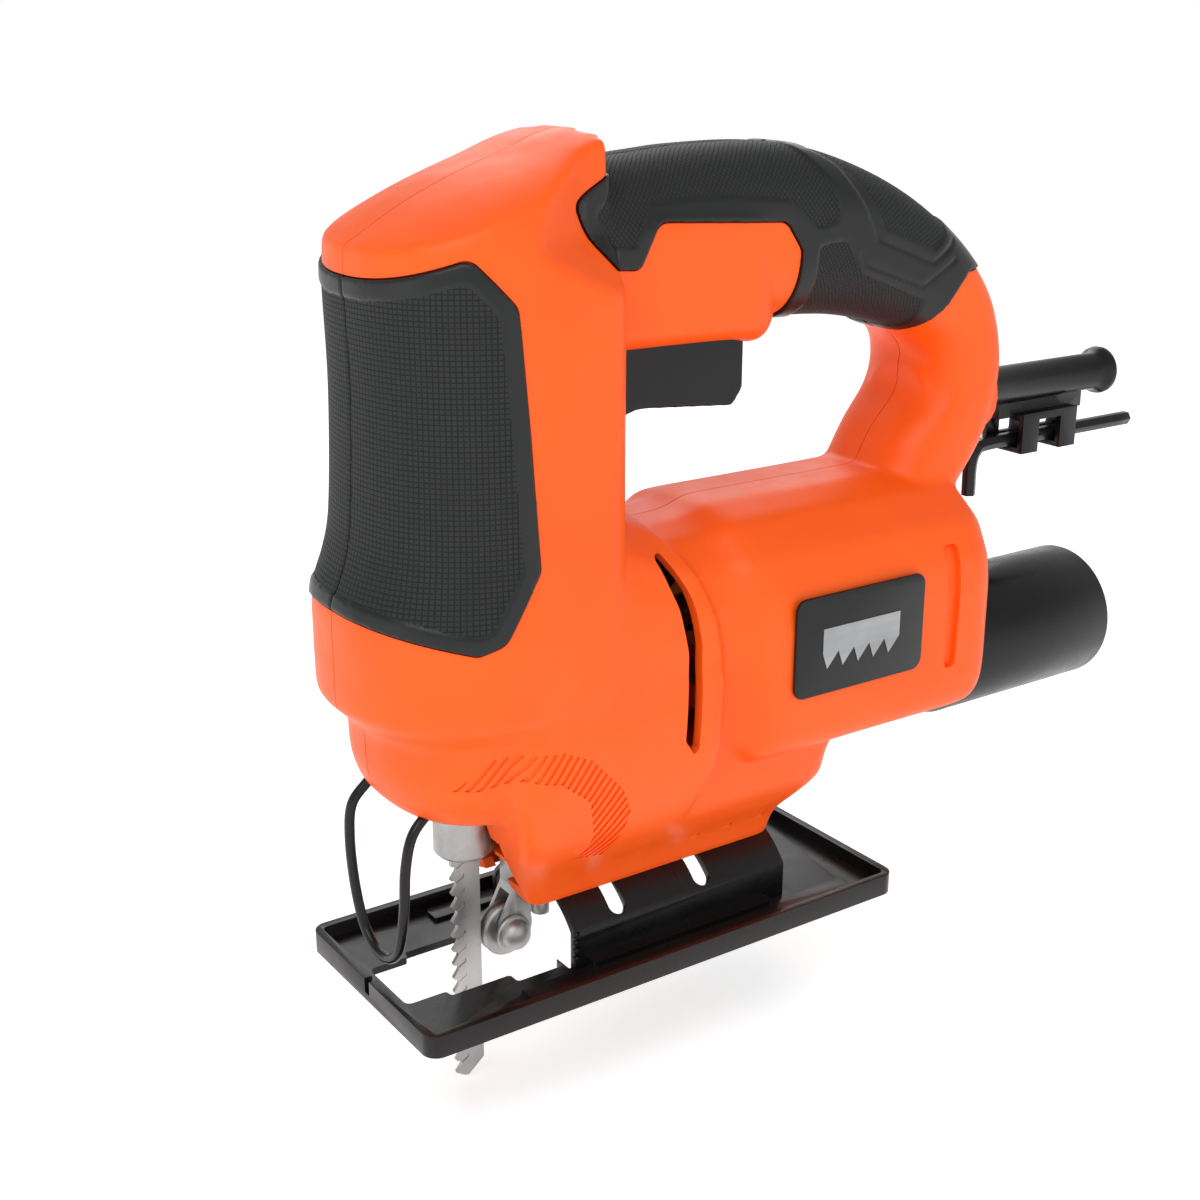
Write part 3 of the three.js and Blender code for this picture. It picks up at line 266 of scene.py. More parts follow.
def block(name, x0, x1, y0, y1, z0, z1):
    """A box between two corners, in millimetres."""
    deselect()
    bpy.ops.mesh.primitive_cube_add(size=MM, location=((x0 + x1) / 2 * MM, (y0 + y1) / 2 * MM,
                                                       (z0 + z1) / 2 * MM),
                                    scale=(x1 - x0, y1 - y0, z1 - z0))
    return settle(bpy.context.object, name)


TURNS = {"x": (0, math.pi / 2, 0), "y": (-math.pi / 2, 0, 0), "z": (0, 0, 0)}


def bar(name, axis, radius, start, end, place=(0, 0, 0), sides=48):
    """A round bar along an axis through a place, in millimetres."""
    deselect()
    middle = list(place)
    middle[AXES[axis]] = (start + end) / 2
    bpy.ops.mesh.primitive_cylinder_add(vertices=sides, radius=radius * MM, depth=abs(end - start) * MM,
                                        location=Vector(middle) * MM, rotation=TURNS[axis])
    return settle(bpy.context.object, name)


def turned(name, profile, axis, place, steps=48):
    """A closed profile of [radius, distance along the axis], spun round that axis."""
    deselect()
    bpy.ops.mesh.primitive_circle_add(vertices=len(profile), radius=1, fill_type="NOTHING")
    piece = bpy.context.object
    along = AXES[axis]
    across = (along + 1) % 3
    places = np.zeros((len(profile), 3))
    places[:, across] = [point[0] for point in profile]
    places[:, along] = [point[1] for point in profile]
    places += np.array([0 if k == along else place[k] for k in range(3)])
    put_points(piece, places * MM)
    bpy.ops.object.mode_set(mode="EDIT")
    bpy.ops.mesh.select_all(action="SELECT")
    direction = [0, 0, 0]
    direction[along] = 1
    bpy.ops.mesh.spin(steps=steps, angle=2 * math.pi, center=Vector(place) * MM, axis=direction)
    bpy.ops.object.mode_set(mode="OBJECT")
    face_outwards(piece)
    return settle(piece, name)


# %% [markdown]
# ## Lofted solids
#
# The moulded body has no straight sides, so it is lofted: a section is carried along a row of
# stations, and each station sets its size and place. By hand, a cylinder is added and cut across by
# subdividing its long edges, and then each ring of points is put on its own station. A curve is run
# through the stations first, so that a few rows of numbers give a surface with no flats.

# %% Loft helper
def curve_through(rows, fineness):
    """Points on a smooth curve that passes through every row."""
    rows = np.asarray(rows, float)
    ends = np.vstack([2 * rows[0] - rows[1], rows, 2 * rows[-1] - rows[-2]])
    fine = []
    for i in range(1, len(ends) - 2):
        before, start, end, after = ends[i - 1:i + 3]
        for t in np.arange(fineness) / fineness:
            fine.append(0.5 * (2 * start + (end - before) * t
                               + (2 * before - 5 * start + 4 * end - after) * t ** 2
                               + (3 * start - before - 3 * end + after) * t ** 3))
    fine.append(rows[-1])
    return np.array(fine)


def even_section(outline, count):
    """An outline with its points spaced evenly."""
    ring = np.array([tuple(point)[:2] for point in outline] + [tuple(outline[0])[:2]], float)
    reach = np.concatenate([[0], np.cumsum(np.hypot(*np.diff(ring, axis=0).T))])
    stops = np.linspace(0, reach[-1], count, endpoint=False)
    return np.column_stack([np.interp(stops, reach, ring[:, k]) for k in (0, 1)])


def loft(name, section, stations, place, sides=112, fineness=6):
    """A section in -1..1 carried along stations; place(station, u, v) gives a point in millimetres."""
    rows = curve_through(stations, fineness)
    ring = even_section(section, sides)
    deselect()
    bpy.ops.mesh.primitive_cylinder_add(vertices=sides, radius=1, depth=2)
    piece = bpy.context.object
    bpy.ops.object.mode_set(mode="EDIT")
    bpy.ops.mesh.select_mode(type="EDGE")
    bpy.ops.mesh.select_all(action="DESELECT")
    mesh = bmesh.from_edit_mesh(piece.data)
    for edge in mesh.edges:
        low, high = (vertex.co.z for vertex in edge.verts)
        edge.select = abs(low - high) > 1
    bmesh.update_edit_mesh(piece.data)
    bpy.ops.mesh.subdivide(number_cuts=len(rows) - 2)
    bpy.ops.mesh.select_mode(type="VERT")
    bpy.ops.object.mode_set(mode="OBJECT")
    places = points_of(piece)
    around = np.round(np.arctan2(places[:, 0], places[:, 1]) / (2 * math.pi) * sides).astype(int) % sides
    level = np.round((places[:, 2] + 1) / 2 * (len(rows) - 1)).astype(int)
    u, v = ring[around].T
    put_points(piece, np.column_stack(place(rows[level].T, u, v)) * MM)
    face_outwards(piece)
    return settle(piece, name)


def between(u, low, high):
    return low + (u + 1) / 2 * (high - low)


def level_station(row, u, v):
    z, front, rear, half = row
    return between(u, front, rear), v * half, z


def upright_station(row, u, v):
    x, half, bottom, top = row
    return x, u * half, between(v, bottom, top)


def slanted_station(row, u, v):
    inner_x, inner_z, outer_x, outer_z, half = row
    return between(u, inner_x, outer_x), v * half, between(u, inner_z, outer_z)


def cushion(share):
    """A rounded square in -1..1."""
    return rounded([(-1, -1, share), (1, -1, share), (1, 1, share), (-1, 1, share)])


# %% [markdown]
# ## The moulded body
#
# The gear column, the motor barrel, the handle, the trigger's housing and the foot are one moulding
# with soft fillets where they meet. Bevelling those meeting lines by hand is hard, because they are
# curved in every direction. Here the forms are lofted apart, fused by a voxel remesh, and relaxed by
# a Smooth modifier, which gives each meeting line the fillet that a mould has. Crisp details come after.

# %% Column
COLUMN_FRONT = -32.6
COLUMN_REAR = 30
COLUMN_HALF = 33.8
CHIN_BOTTOM = 45.5
# Height above the chin, how far the front stands back, and how much narrower each side is.
COLUMN_STATIONS = [
    [0, 27, 20], [3, 17.5, 13], [9, 10.3, 8], [16, 7.3, 5.3], [24.5, 7, 3.8], [27.5, 6.2, 3.2],
    [33, 0.5, 0], [36, 0, -0.8], [46, 0, -1], [57.5, 0.3, -0.8], [67, 3.8, 0], [77.5, 6, 0.3],
    [105, 7.5, 0.3], [130, 7.1, 0.5], [146, 7.1, 4], [163, 7.1, 10],
]


def column_plan():
    squarer = lambda value: math.copysign(abs(value) ** 0.84, value)
    front = [(0.2 + 1.2 * squarer(math.cos(a)), squarer(math.sin(a)))
             for a in np.linspace(math.pi / 2, 3 * math.pi / 2, 49)]
    corners = [(0.66 + 0.34 * math.cos(a), 0.72 * side + 0.28 * math.sin(a))
               for side, first in ((-1, -math.pi / 2), (1, 0))
               for a in np.linspace(first, first + math.pi / 2, 9)]
    return front + corners


column = loft("column", column_plan(), [
    [CHIN_BOTTOM + height, COLUMN_FRONT + back, COLUMN_REAR, COLUMN_HALF - narrower]
    for height, back, narrower in COLUMN_STATIONS], level_station)

# The crown over the nose: the height of its middle line, and its drop towards both sides.
CROWN_LINE = [[-90, 146], [-27, 183], [-6.3, 194.2], [14.3, 202], [34, 207.8], [90, 214]]
CROWN_DROP = 12
CROWN_WIDTH = 30


def crown_height(x, y):
    line = curve_through(CROWN_LINE, 8)
    shoulder = np.clip((np.abs(y) - (COLUMN_HALF - CROWN_WIDTH)) / CROWN_WIDTH, 0, 1)
    return np.interp(x, *line.T) - CROWN_DROP * (1 - np.sqrt(1 - shoulder ** 2))


crown = block("crown", -60, 60, -50, 50, 20, 260)
bpy.ops.object.mode_set(mode="EDIT")
bpy.ops.mesh.subdivide(number_cuts=60)
bpy.ops.object.mode_set(mode="OBJECT")
spots = points_of(crown) / MM
top = spots[:, 2] > 259
spots[top, 2] = crown_height(spots[top, 0], spots[top, 1])
low = ~top
spots[low, 2] = 20 + (spots[low, 2] - 20) * 0.45
put_points(crown, spots * MM)
combine(column, crown, "INTERSECT")
# Behind the nose both shoulders slope in to the width of the handle, first gradually and then upright.
SHOULDER = [(-3, 36), (23, 20.4), (60, 20.4), (60, 80), (-3, 80)]
SHOULDER_LOW = 166
SHOULDER_HIGH = 184
for side in (-1, 1):
    outline = [(x, side * y) for x, y in SHOULDER]
    carve(column, plate("shoulder", outline, "z", SHOULDER_HIGH - 0.01, 240))
    slope = plate("slope", outline, "z", SHOULDER_LOW, SHOULDER_HIGH)
    spots = points_of(slope)
    spots[spots[:, 2] < (SHOULDER_LOW + 1) * MM] += np.array([12, side * 15, 0]) * MM
    put_points(slope, spots)
    carve(column, slope)
print("column:", len(column.data.polygons), "faces")

# %% Barrel, collar and foot
BARREL_HALF = 36
BARREL_BOTTOM = 50.8
BARREL_TOP = 115
BARREL_REAR = 148
FOOT_REAR = 98
BARREL_QUARTER = [(0.28, 1), (0.56, 0.9), (0.84, 0.66), (0.97, 0.36), (1, 0.1), (1, -0.64), (0.985, -0.82),
                  (0.93, -0.94), (0.8, -1)]
barrel_section = BARREL_QUARTER + [(-u, v) for u, v in reversed(BARREL_QUARTER)]


def barrel_rows(rows):
    """Place along the barrel, and how much narrower, higher and lower it is there."""
    return [[x, BARREL_HALF - narrower, BARREL_BOTTOM + rise, BARREL_TOP - fall]
            for x, narrower, rise, fall in rows]


barrel = loft("barrel", barrel_section, barrel_rows([
    [40, 5.8, 6, 3], [50, 5.8, 5.4, 3], [58, 5.6, 4.6, 2.7], [62.5, 3.8, 2.8, 1.8], [66, 1, 0.7, 0.5],
    [70, 0.2, 0, 0], [85, 0, 0, 0], [110, 0, 0, 0], [BARREL_REAR - 12, 0, 0, 0],
    [BARREL_REAR - 5, 1, 1, 1], [BARREL_REAR - 1, 4, 4, 4],
    [BARREL_REAR, 7, 7, 7]]), upright_station)
collar = loft("collar", barrel_section, barrel_rows([
    [6, 2, 3, -16], [22, 2, 3, -13], [30, 2.1, 3, -9.5], [38, 2.4, 3, -4.5], [47, 2.9, 3, -0.5],
    [54, 3.1, 3, 1],
    [62, 3.2, 2, 1.4]]), upright_station)
# The collar ends in a ridge that curves down beside the vent slot and over the top of the barrel.
RIDGE = [[-10, 10], [45, 10], [48.3, 36], [54.5, 55], [56, 78], [53.6, 95], [48.8, 108], [38.9, 119.5],
         [24, 130],
         [-10, 130]]
ridge = plate("ridge", [tuple(p) for p in curve_through(RIDGE[1:-1], 6)] + [(-10, 130), (-10, 10)], "y",
              -60, 60)
combine(collar, ridge, "INTERSECT", keep=True)

# Height, front, rear and half-width: the wide front of the foot, and its narrower tail.
foot_front = loft("foot_front", cushion(0.18), [
    [18.4, 11.5, 70, 13.6], [24, 9.5, 70, 14.4], [30, 6.8, 70, 17.6], [37, 4, 70, 24.5], [43, 2, 70, 28.4],
    [50, 0, 70, 31], [57, -2, 70, 32.8], [64, -2, 70, 33.6], [72, -2, 70, 33.8], [80, 2, 70, 33.6]],
    level_station)
combine(foot_front, ridge, "INTERSECT")
foot_tail = loft("foot_tail", cushion(0.14), [
    [18.4, 20, FOOT_REAR - 10, 13.4], [26, 20, FOOT_REAR - 7.5, 15], [33, 20, FOOT_REAR - 4, 21],
    [39, 20, FOOT_REAR - 0.6, 25.2], [46, 20, FOOT_REAR, 27], [54, 20, FOOT_REAR + 4, 28],
    [62, 20, FOOT_REAR + 8, 29]],
    level_station)

# %% Handle and trigger housing
HANDLE_HALF = 19
HANDLE_TOP = 201.5
BOSS_BOTTOM = 156.5
HANDLE_STATIONS = [
    [20, 161, 20, 198], [46, 160.5, 46, HANDLE_TOP - 1.5], [66, 160.5, 66, HANDLE_TOP],
    [88, 159.5, 90, HANDLE_TOP - 0.3], [105, 158.5, 110, HANDLE_TOP - 5],
    [119, 156, 130, HANDLE_TOP - 13.5], [131, 152.5, 147, HANDLE_TOP - 25], [139, 147, 159, 163.5],
    [141, 140, 165, 149], [138.5, 132.5, 166, 135], [130, 123, 161, 119], [121, 106, 145, 100],
]
handle = loft("handle", cushion(0.75), [[*row, HANDLE_HALF] for row in HANDLE_STATIONS], slanted_station)
# Place, half-width, bottom and top of the housing that hangs under the handle and holds the trigger.
BOSS_STATIONS = [
    [20, 20, BOSS_BOTTOM + 0.5, 190], [60, 20, BOSS_BOTTOM, 190], [72, 19.8, BOSS_BOTTOM - 0.6, 190],
    [76, 19.2, BOSS_BOTTOM - 1.6, 190], [80, 17.5, BOSS_BOTTOM - 0.5, 188],
    [84, 14, BOSS_BOTTOM + 4.5, 184]]
boss = loft("boss", cushion(0.35), BOSS_STATIONS, upright_station)

# %% Rear collar and dust duct
SLEEVE_Z = 130
SLEEVE_RADIUS = 5.6
DUCT_HALF = 15
DUCT_BOTTOM = 41.5
DUCT_END = BARREL_REAR + 2


def duct_section(half, bottom, top, radius):
    return rounded([(-half, bottom, radius), (half, bottom, radius), (half, top), (-half, top)])


sleeve_collar = bar("sleeve_collar", "x", 12, 140, 168.5, (0, 0, SLEEVE_Z), sides=64)
duct = plate("duct", duct_section(DUCT_HALF, DUCT_BOTTOM, BARREL_BOTTOM + 3, 6), "x", FOOT_REAR - 8,
             DUCT_END)

# %% Fuse and relax
FINE_VOXEL = 1.0 * MM
body = pick(column, barrel, collar, foot_front, foot_tail, handle, boss, sleeve_collar, duct)
bpy.ops.object.join()
apply(body, "REMESH", mode="VOXEL", voxel_size=FINE_VOXEL)
apply(body, "SMOOTH", factor=0.5, iterations=14)
body.name = "body"
print("body:", len(body.data.polygons), "faces")

# %% [markdown]
# ## Skins at other depths
#
# Grips, grooves and the hollow inside all follow the body's surface at some depth. A Displace
# modifier moves a copy of the body along its normals, and that copy then serves as the tool.

# %% Skin helper
def skin(name, by, voxel=None):
    """A copy of the body moved outwards by a distance in millimetres, or inwards by a negative one."""
    layer = copy_of(body, name)
    apply(layer, "DISPLACE", strength=by * MM, mid_level=0)
    if voxel:
        apply(layer, "REMESH", mode="VOXEL", voxel_size=voxel * MM)
    return layer


WALL = 2.8
GRIP_SUNK = 1.1
GRIP_PROUD = 0.8
GAP = 0.3
grip_outer = skin("grip_outer", GRIP_PROUD)
grip_inner = skin("grip_inner", -GRIP_SUNK)
grip_field = skin("grip_field", GRIP_PROUD - 0.5)
recess_floor = skin("recess_floor", -GRIP_SUNK - GAP)
shallow = skin("shallow", -0.45)
deeper = skin("deeper", -1.5)
hollow = skin("hollow", -WALL, voxel=1.5)
print("hollow:", len(hollow.data.polygons), "faces")

# %% Details cut into the body
BLADE_GUARD_ROUTE = [
    [-14, -9.5, 52], [-19.5, -10.4, 47], [-22, -11, 39], [-22.8, -11, 28], [-23.4, -9, 17.5],
    [-23.6, -5, 12.8], [-23.7, 0, 11.4], [-23.8, 5, 12.8], [-24.2, 9, 17.5], [-25, 11, 28],
    [-25.6, 11, 40], [-24.6, 10.8, 48.5], [-20, 10.2, 54],
]
GUARD_RADIUS = 1.3


def wire(name, route, radius, sides=16, fineness=6):
    """A round wire along a smooth route: a curve with a bevel, made a mesh."""
    line = curve_through(route, fineness) * MM
    deselect()
    bpy.ops.curve.primitive_bezier_curve_add()
    piece = bpy.context.object
    piece.data.splines.clear()
    spline = piece.data.splines.new("POLY")
    spline.points.add(len(line) - 1)
    for point, place in zip(spline.points, line):
        point.co = (*place, 1)
    piece.data.bevel_depth = radius * MM
    piece.data.bevel_resolution = sides // 2 - 2
    piece.data.use_fill_caps = True
    bpy.ops.object.convert(target="MESH")
    piece = bpy.context.object
    face_outwards(piece)
    return settle(piece, name)


def both_sides(maker):
    """The same tool for the left side and the right side."""
    return [maker(-60, -15), maker(15, 60)]


def slot_tool(name, outline):
    return both_sides(lambda start, end: plate(name, outline, "y", start, end))


VENT_SLOT = [[38.4, 110, 1.2], [41.6, 110, 1.2], [46.9, 100, 12], [48.6, 88, 12], [48, 61, 1],
             [46.6, 59.6, 0.6],
             [43.6, 64, 1], [44.4, 86, 14], [42.2, 98, 14]]
SADDLE_RADIUS = 24.5
TILT_AXIS_Z = -1.5
CLAMP_RADIUS = 7.5
CLAMP_BOTTOM = 33
CLAMP_TOP = 50
STROKE = 16
TRIGGER_FRONT = 33.5
TRIGGER_REAR = 77.5
TRIGGER_BOTTOM = 138.8
TRIGGER_HALF = 10
SLIDE_FIT = 0.4
SADDLE_SCREWS = [34.5, 61.5]
SCREW_RADIUS = 1.9
SCREW_HEAD_RADIUS = 3.5
SCREW_HEAD = 2.6
HOUSING_SCREWS = {"screw_nose": (12, 184, 24), "screw_chin": (22, 74, 24), "screw_handle": (96, 179, 13),
                  "screw_post": (147, 158, 12), "screw_barrel_rear": (141, 66, 22),
                  "screw_foot": (84, 36, 13)}

tools = [
    bar("seat", "x", SADDLE_RADIUS + GAP, -10, 130, (0, 0, TILT_AXIS_Z), sides=128),
    block("roller_mouth", -10, 19.5, -6.2, 6.2, 5, 34),
    bar("plunger_well", "z", CLAMP_RADIUS + 1, 5, CLAMP_TOP + STROKE / 2 + 1),
    bar("sleeve_bore", "x", SLEEVE_RADIUS + GAP, 152, 180, (0, 0, SLEEVE_Z)),
    block("trigger_hole", TRIGGER_FRONT - SLIDE_FIT, TRIGGER_REAR + SLIDE_FIT, -TRIGGER_HALF - SLIDE_FIT,
          TRIGGER_HALF + SLIDE_FIT, TRIGGER_BOTTOM, BOSS_BOTTOM + WALL + 2),
    plate("duct_bore", duct_section(DUCT_HALF - 3, DUCT_BOTTOM + 3, BARREL_BOTTOM - 0.5, 3), "x",
          FOOT_REAR - 12, DUCT_END + 1),
    wire("guard_room", BLADE_GUARD_ROUTE, GUARD_RADIUS + GAP, sides=12),
    *slot_tool("vent_slot", rounded(VENT_SLOT)),
]
for x in SADDLE_SCREWS:
    tools.append(bar("saddle_screw_hole", "z", SCREW_RADIUS + GAP, 10, 36, (x, 0, 0), sides=24))
for x, z, head in HOUSING_SCREWS.values():
    tools.append(bar("screw_hole", "y", SCREW_RADIUS + 0.4, -9, 60, (x, 0, z), sides=24))
    tools.append(bar("screw_seat", "y", SCREW_HEAD_RADIUS + GAP, head - SCREW_HEAD - GAP, 60, (x, 0, z),
                     sides=32))

# The front of the foot has two stacked pockets on each side of the seam.
for side in (-1, 1):
    y0, y1 = sorted((side * 2.2, side * 11.8))
    tools.append(block("pocket", -10, 14, y0, y1, 34.8, 39))
    tools.append(block("pocket", -10, 14, y0, y1, 25.5, 33.4))

# %% Shallow grooves
# Diagonal ribbing on the chin, clipped to an arc-shaped band.
HATCH_BAND = [(-15.2, 62), (-7.7, 69.6), (-0.2, 70.6), (8.3, 69.8), (16.2, 66), (26.1, 55.3), (29.8, 47.6),
              (27.6, 33), (18.3, 35), (20.1, 42.8), (16.6, 54.5), (7.8, 61.7), (-0.7, 63.9), (-10, 61.6)]
HATCH_PITCH = 2.1
HATCH_WIDTH = 1.0
HATCH_SLOPE = math.radians(56)


def hatching(start, end):
    """Parallel slanted strips inside the band, for one side."""
    along = Vector((math.cos(HATCH_SLOPE), math.sin(HATCH_SLOPE)))
    across = Vector((-along.y, along.x)) * HATCH_WIDTH / 2
    strips = []
    for k in range(26):
        middle = Vector((-24 + k * HATCH_PITCH / math.sin(HATCH_SLOPE), 52))
        corners = [middle - along * 45 - across, middle + along * 45 - across, middle + along * 45 + across,
                   middle - along * 45 + across]
        strips.append(plate("strip", [tuple(c) for c in corners], "y", start, end))
    pick(*strips)
    bpy.ops.object.join()
    strips = bpy.context.object
    return combine(strips, plate("hatch_band", HATCH_BAND, "y", start, end), "INTERSECT")


def dash(x, z, start, end):
    corners = [(x - 2.6, z - 1.5), (x + 1.6, z - 0.5), (x + 3.4, z + 2), (x + 2.2, z + 0.9),
               (x + 0.6, z + 0.5)]
    return plate("dash", corners, "y", start, end)


grooves = both_sides(hatching)
deep_grooves = slot_tool("rear_groove", rounded([[127.6, 99, 1.6], [132.8, 99, 1.6], [131.8, 65.5, 1.6],
                                                 [127.8, 65.5, 1.6]]))
for x in (60, 71, 82):
    deep_grooves += both_sides(lambda start, end: dash(x, 26.2, start, end))


def as_one(name, pieces):
    """Separate solids as one tool."""
    whole = pick(*pieces)
    if len(pieces) > 1:
        bpy.ops.object.join()
    whole = bpy.context.object
    whole.name = name
    return whole


def weld_all(pieces):
    whole = pieces[0]
    return weld(whole, *pieces[1:])


groove_tool = as_one("groove_tool", grooves)
combine(groove_tool, shallow)
deep_groove_tool = as_one("deep_groove_tool", deep_grooves)
combine(deep_groove_tool, deeper)
outer_tool = weld_all(tools)
print("outer tools:", len(outer_tool.data.polygons), "faces; grooves:", len(groove_tool.data.polygons))

# %% Grip outlines
FRONT_GRIP = [[-45, 170.5], [-10.7, 182.9, 3], [-1.8, 172.7, 4], [0.5, 146.5, 20], [2.6, 114.6, 4],
              [-6.8, 99.4, 4], [-12.9, 97.4, 3], [-32, 102.9], [-45, 106]]
HANDLE_GRIP = [[40, 203], [19.2, 191.6, 2], [29, 176.9, 3], [38.6, 176.1, 3], [44, 186.4, 4],
               [82.4, 184.1, 4], [87.5, 177.1, 4], [86.6, 148], [128, 148], [145.1, 167.5, 3],
               [175, 168], [175, 215],
               [48, 215]]


def recess(name, outline):
    tool = plate(name, rounded(widened(outline, GAP)), "y", -60, 60)
    return combine(tool, recess_floor, keep=True)


front_recess = recess("front_recess", FRONT_GRIP)
handle_recess = recess("handle_recess", HANDLE_GRIP)

# %% [markdown]
# ## The two housing halves
#
# The moulding is really two shells that meet on the middle plane. The outside is cut first, then the
# hollow, in which ribs and screw posts are left standing, and last the shell is split with the
# narrow seam that shows on the real machine.

# %% Hollow with ribs and posts
MOTOR_Z = 84
CRANK_Z = 104


def rib(x0, x1, z0, z1, *bores):
    return carve(block("rib", x0, x1, -60, 60, z0, z1), *bores)


def shaft_bore(radius, z=MOTOR_Z):
    return bar("bore", "x", radius, 0, 200, (0, 0, z))


ribs = [
    rib(-40, 16.5, 61, 67, bar("bore", "z", 8.3, 40, 170)),
    rib(-40, COLUMN_REAR, 139, 145, bar("bore", "z", 8.3, 40, 170)),
    rib(34.3, 36.8, 57, 112, shaft_bore(13), shaft_bore(4.3, CRANK_Z)),
    rib(136.5, 141, 50, 120, shaft_bore(9.3)),
    rib(79, 81.5, 50, 120, shaft_bore(26.3)),
    rib(104, 106.5, 50, 120, shaft_bore(26.3)),
]
posts = [bar("post", "y", SCREW_HEAD_RADIUS + GAP + 1.5, -30, 30, (x, 0, z), sides=32)
         for x, z, head in HOUSING_SCREWS.values()]
for inside in ribs + posts:
    combine(hollow, inside)

# %% Cut and split
carve(body, outer_tool, groove_tool, deep_groove_tool, front_recess, handle_recess, hollow)
housing = []
for side, y0, y1 in (("left", -80, -0.15), ("right", 0.15, 80)):
    half = copy_of(body, "shell_" + side)
    combine(half, block("half", -100, 300, y0, y1, -10, 260), "INTERSECT")
    housing.append(half)
    print(half.name, len(half.data.polygons), "faces")
drop(body, recess_floor)

# %% [markdown]
# ## Soft grips
#
# The overmoulded grips stand a little proud of the shell and sink a little into it. Each is the
# space between two skins of the body, cut to its outline. Their fields lie half a millimetre below
# the smooth border. A fine voxel remesh and a few relaxing passes round all the edges as rubber is.

# %% Grips
FRONT_FIELDS = [widened(FRONT_GRIP, -3.6)]
HANDLE_FIELDS = [
    [[52, 215], [25.3, 189, 1.5], [30, 181.5, 1.5], [37.6, 180.9, 1.5], [42.4, 190.6, 4], [67.4, 190.8],
     [83.2, 188.8, 4], [91.5, 181.8, 2], [99.5, 182.6, 3], [99, 190, 8], [89, 204, 3], [88, 215]],
    [[91.5, 215], [96, 200, 3], [106.2, 193, 5], [112, 184, 3], [114.6, 180.2, 2], [131.8, 173.8, 1],
     [137.2, 177.2, 2], [150, 190], [150, 215]],
    [[92.2, 178, 2], [101.5, 179, 3], [107.6, 170.4, 2], [129.8, 161.8, 1.5], [129.4, 154, 2], [118, 148],
     [92, 148]],
]
BAND_GROOVES = [
    [[100.5, 203], [109.4, 193.6, 6], [114.2, 183.4, 3], [116, 182], [113.4, 178.6, 2], [131.6, 171.6, 1.5],
     [141, 176.6, 1], [141.4, 175.6], [131.7, 169.8, 1.5], [111.4, 177.4, 2], [107.2, 186.6, 6],
     [98.6, 201]],
    [[106.5, 175.4, 0.4], [108.6, 172.8, 1], [128.2, 165.6, 1], [140, 171.8, 0.4], [140.4, 170.8, 0.4],
     [128.4, 164.2, 1], [107.6, 171.7, 1], [105.6, 174.8, 0.4]],
]


def grip(name, outline, fields, extra=()):
    """One grip, whole, with its fields sunk."""
    pad = combine(copy_of(grip_outer, name), plate("edge", rounded(outline), "y", -60, 60), "INTERSECT")
    for field in [*fields, *extra]:
        combine(pad, combine(plate("field", rounded(field), "y", -60, 60), grip_field, keep=True))
    return combine(pad, grip_inner, keep=True)


GRIP_VOXEL = 0.5
grips = []
for whole, outline, fields, extra in (("front_grip", FRONT_GRIP, FRONT_FIELDS, []),
                                      ("handle_grip", HANDLE_GRIP, HANDLE_FIELDS, BAND_GROOVES)):
    pad = grip(whole, outline, fields, extra)
    for side, y0, y1 in (("left", -80, -0.1), ("right", 0.1, 80)):
        half = copy_of(pad, whole + "_skin_" + side)
        combine(half, block("half", -100, 300, y0, y1, -10, 260), "INTERSECT")
        apply(half, "REMESH", mode="VOXEL", voxel_size=GRIP_VOXEL * MM)
        apply(half, "SMOOTH", factor=0.5, iterations=3)
        grips.append(half)
        print(half.name, len(half.data.polygons), "faces")
    drop(pad)
drop(grip_outer, grip_inner, grip_field)

# %% [markdown]
# ## A map for the grip pattern
#
# The rubber has a fine moulded pattern that runs with the surface. A pattern on plain object
# coordinates would smear where the surface turns, so each grip gets a map: along the grip, and
# around it. The material then draws its pattern in that map, in metres.

# %% Grip maps
def along_line(places, line):
    """Distance along a line in X and Z, and how far each place lies to its side."""
    best = np.full(len(places), 1e9)
    along = np.zeros(len(places))
    beside = np.zeros(len(places))
    walked = 0
    for start, end in zip(line[:-1], line[1:]):
        step = end - start
        length = np.hypot(*step)
        offset = places[:, [0, 2]] - start
        share = np.clip(offset @ step / length ** 2, 0, 1)
        gap = offset - share[:, None] * step
        far = np.hypot(*gap.T)
        nearer = far < best
        best[nearer] = far[nearer]
        along[nearer] = walked + share[nearer] * length
        beside[nearer] = ((step[0] * offset[:, 1] - step[1] * offset[:, 0]) / length)[nearer]
        walked += length
    return along, beside


def add_map(piece, across, along):
    """Stores two numbers for each point as the piece's map."""
    layer = piece.data.uv_layers.new(name="grip_map")
    corners = np.empty(len(piece.data.loops), int)
    piece.data.loops.foreach_get("vertex_index", corners)
    layer.data.foreach_set("uv", np.column_stack([across[corners], along[corners]]).ravel())


HANDLE_SPINE = curve_through([[(row[0] + row[2]) / 2, (row[1] + row[3]) / 2] for row in HANDLE_STATIONS],
                             6) * MM
for piece in grips:
    places = points_of(piece)
    if piece.name.startswith("front"):
        turn = np.arctan2(places[:, 1], 8 * MM - places[:, 0])
        add_map(piece, turn * 32 * MM, places[:, 2])
    else:
        along, beside = along_line(places, HANDLE_SPINE)
        add_map(piece, np.arctan2(places[:, 1], beside) * 18 * MM, along)

# %% [markdown]
# ## Finishes
#
# Every finish is built from nodes, so nothing is a flat colour. Most share one recipe: two sizes of
# noise shift the colour and the roughness a little, and a third, very fine one gives the grain that
# a mould or a tool leaves. Values that are the same all over are set straight on the shader.

# %% Finish helper
def linear(red, green, blue):
    """A screen colour of 0 to 255 as the linear colour that Blender mixes."""
    share = np.array([red, green, blue]) / 255
    return (*np.where(share <= 0.04045, share / 12.92, ((share + 0.055) / 1.055) ** 2.4), 1)


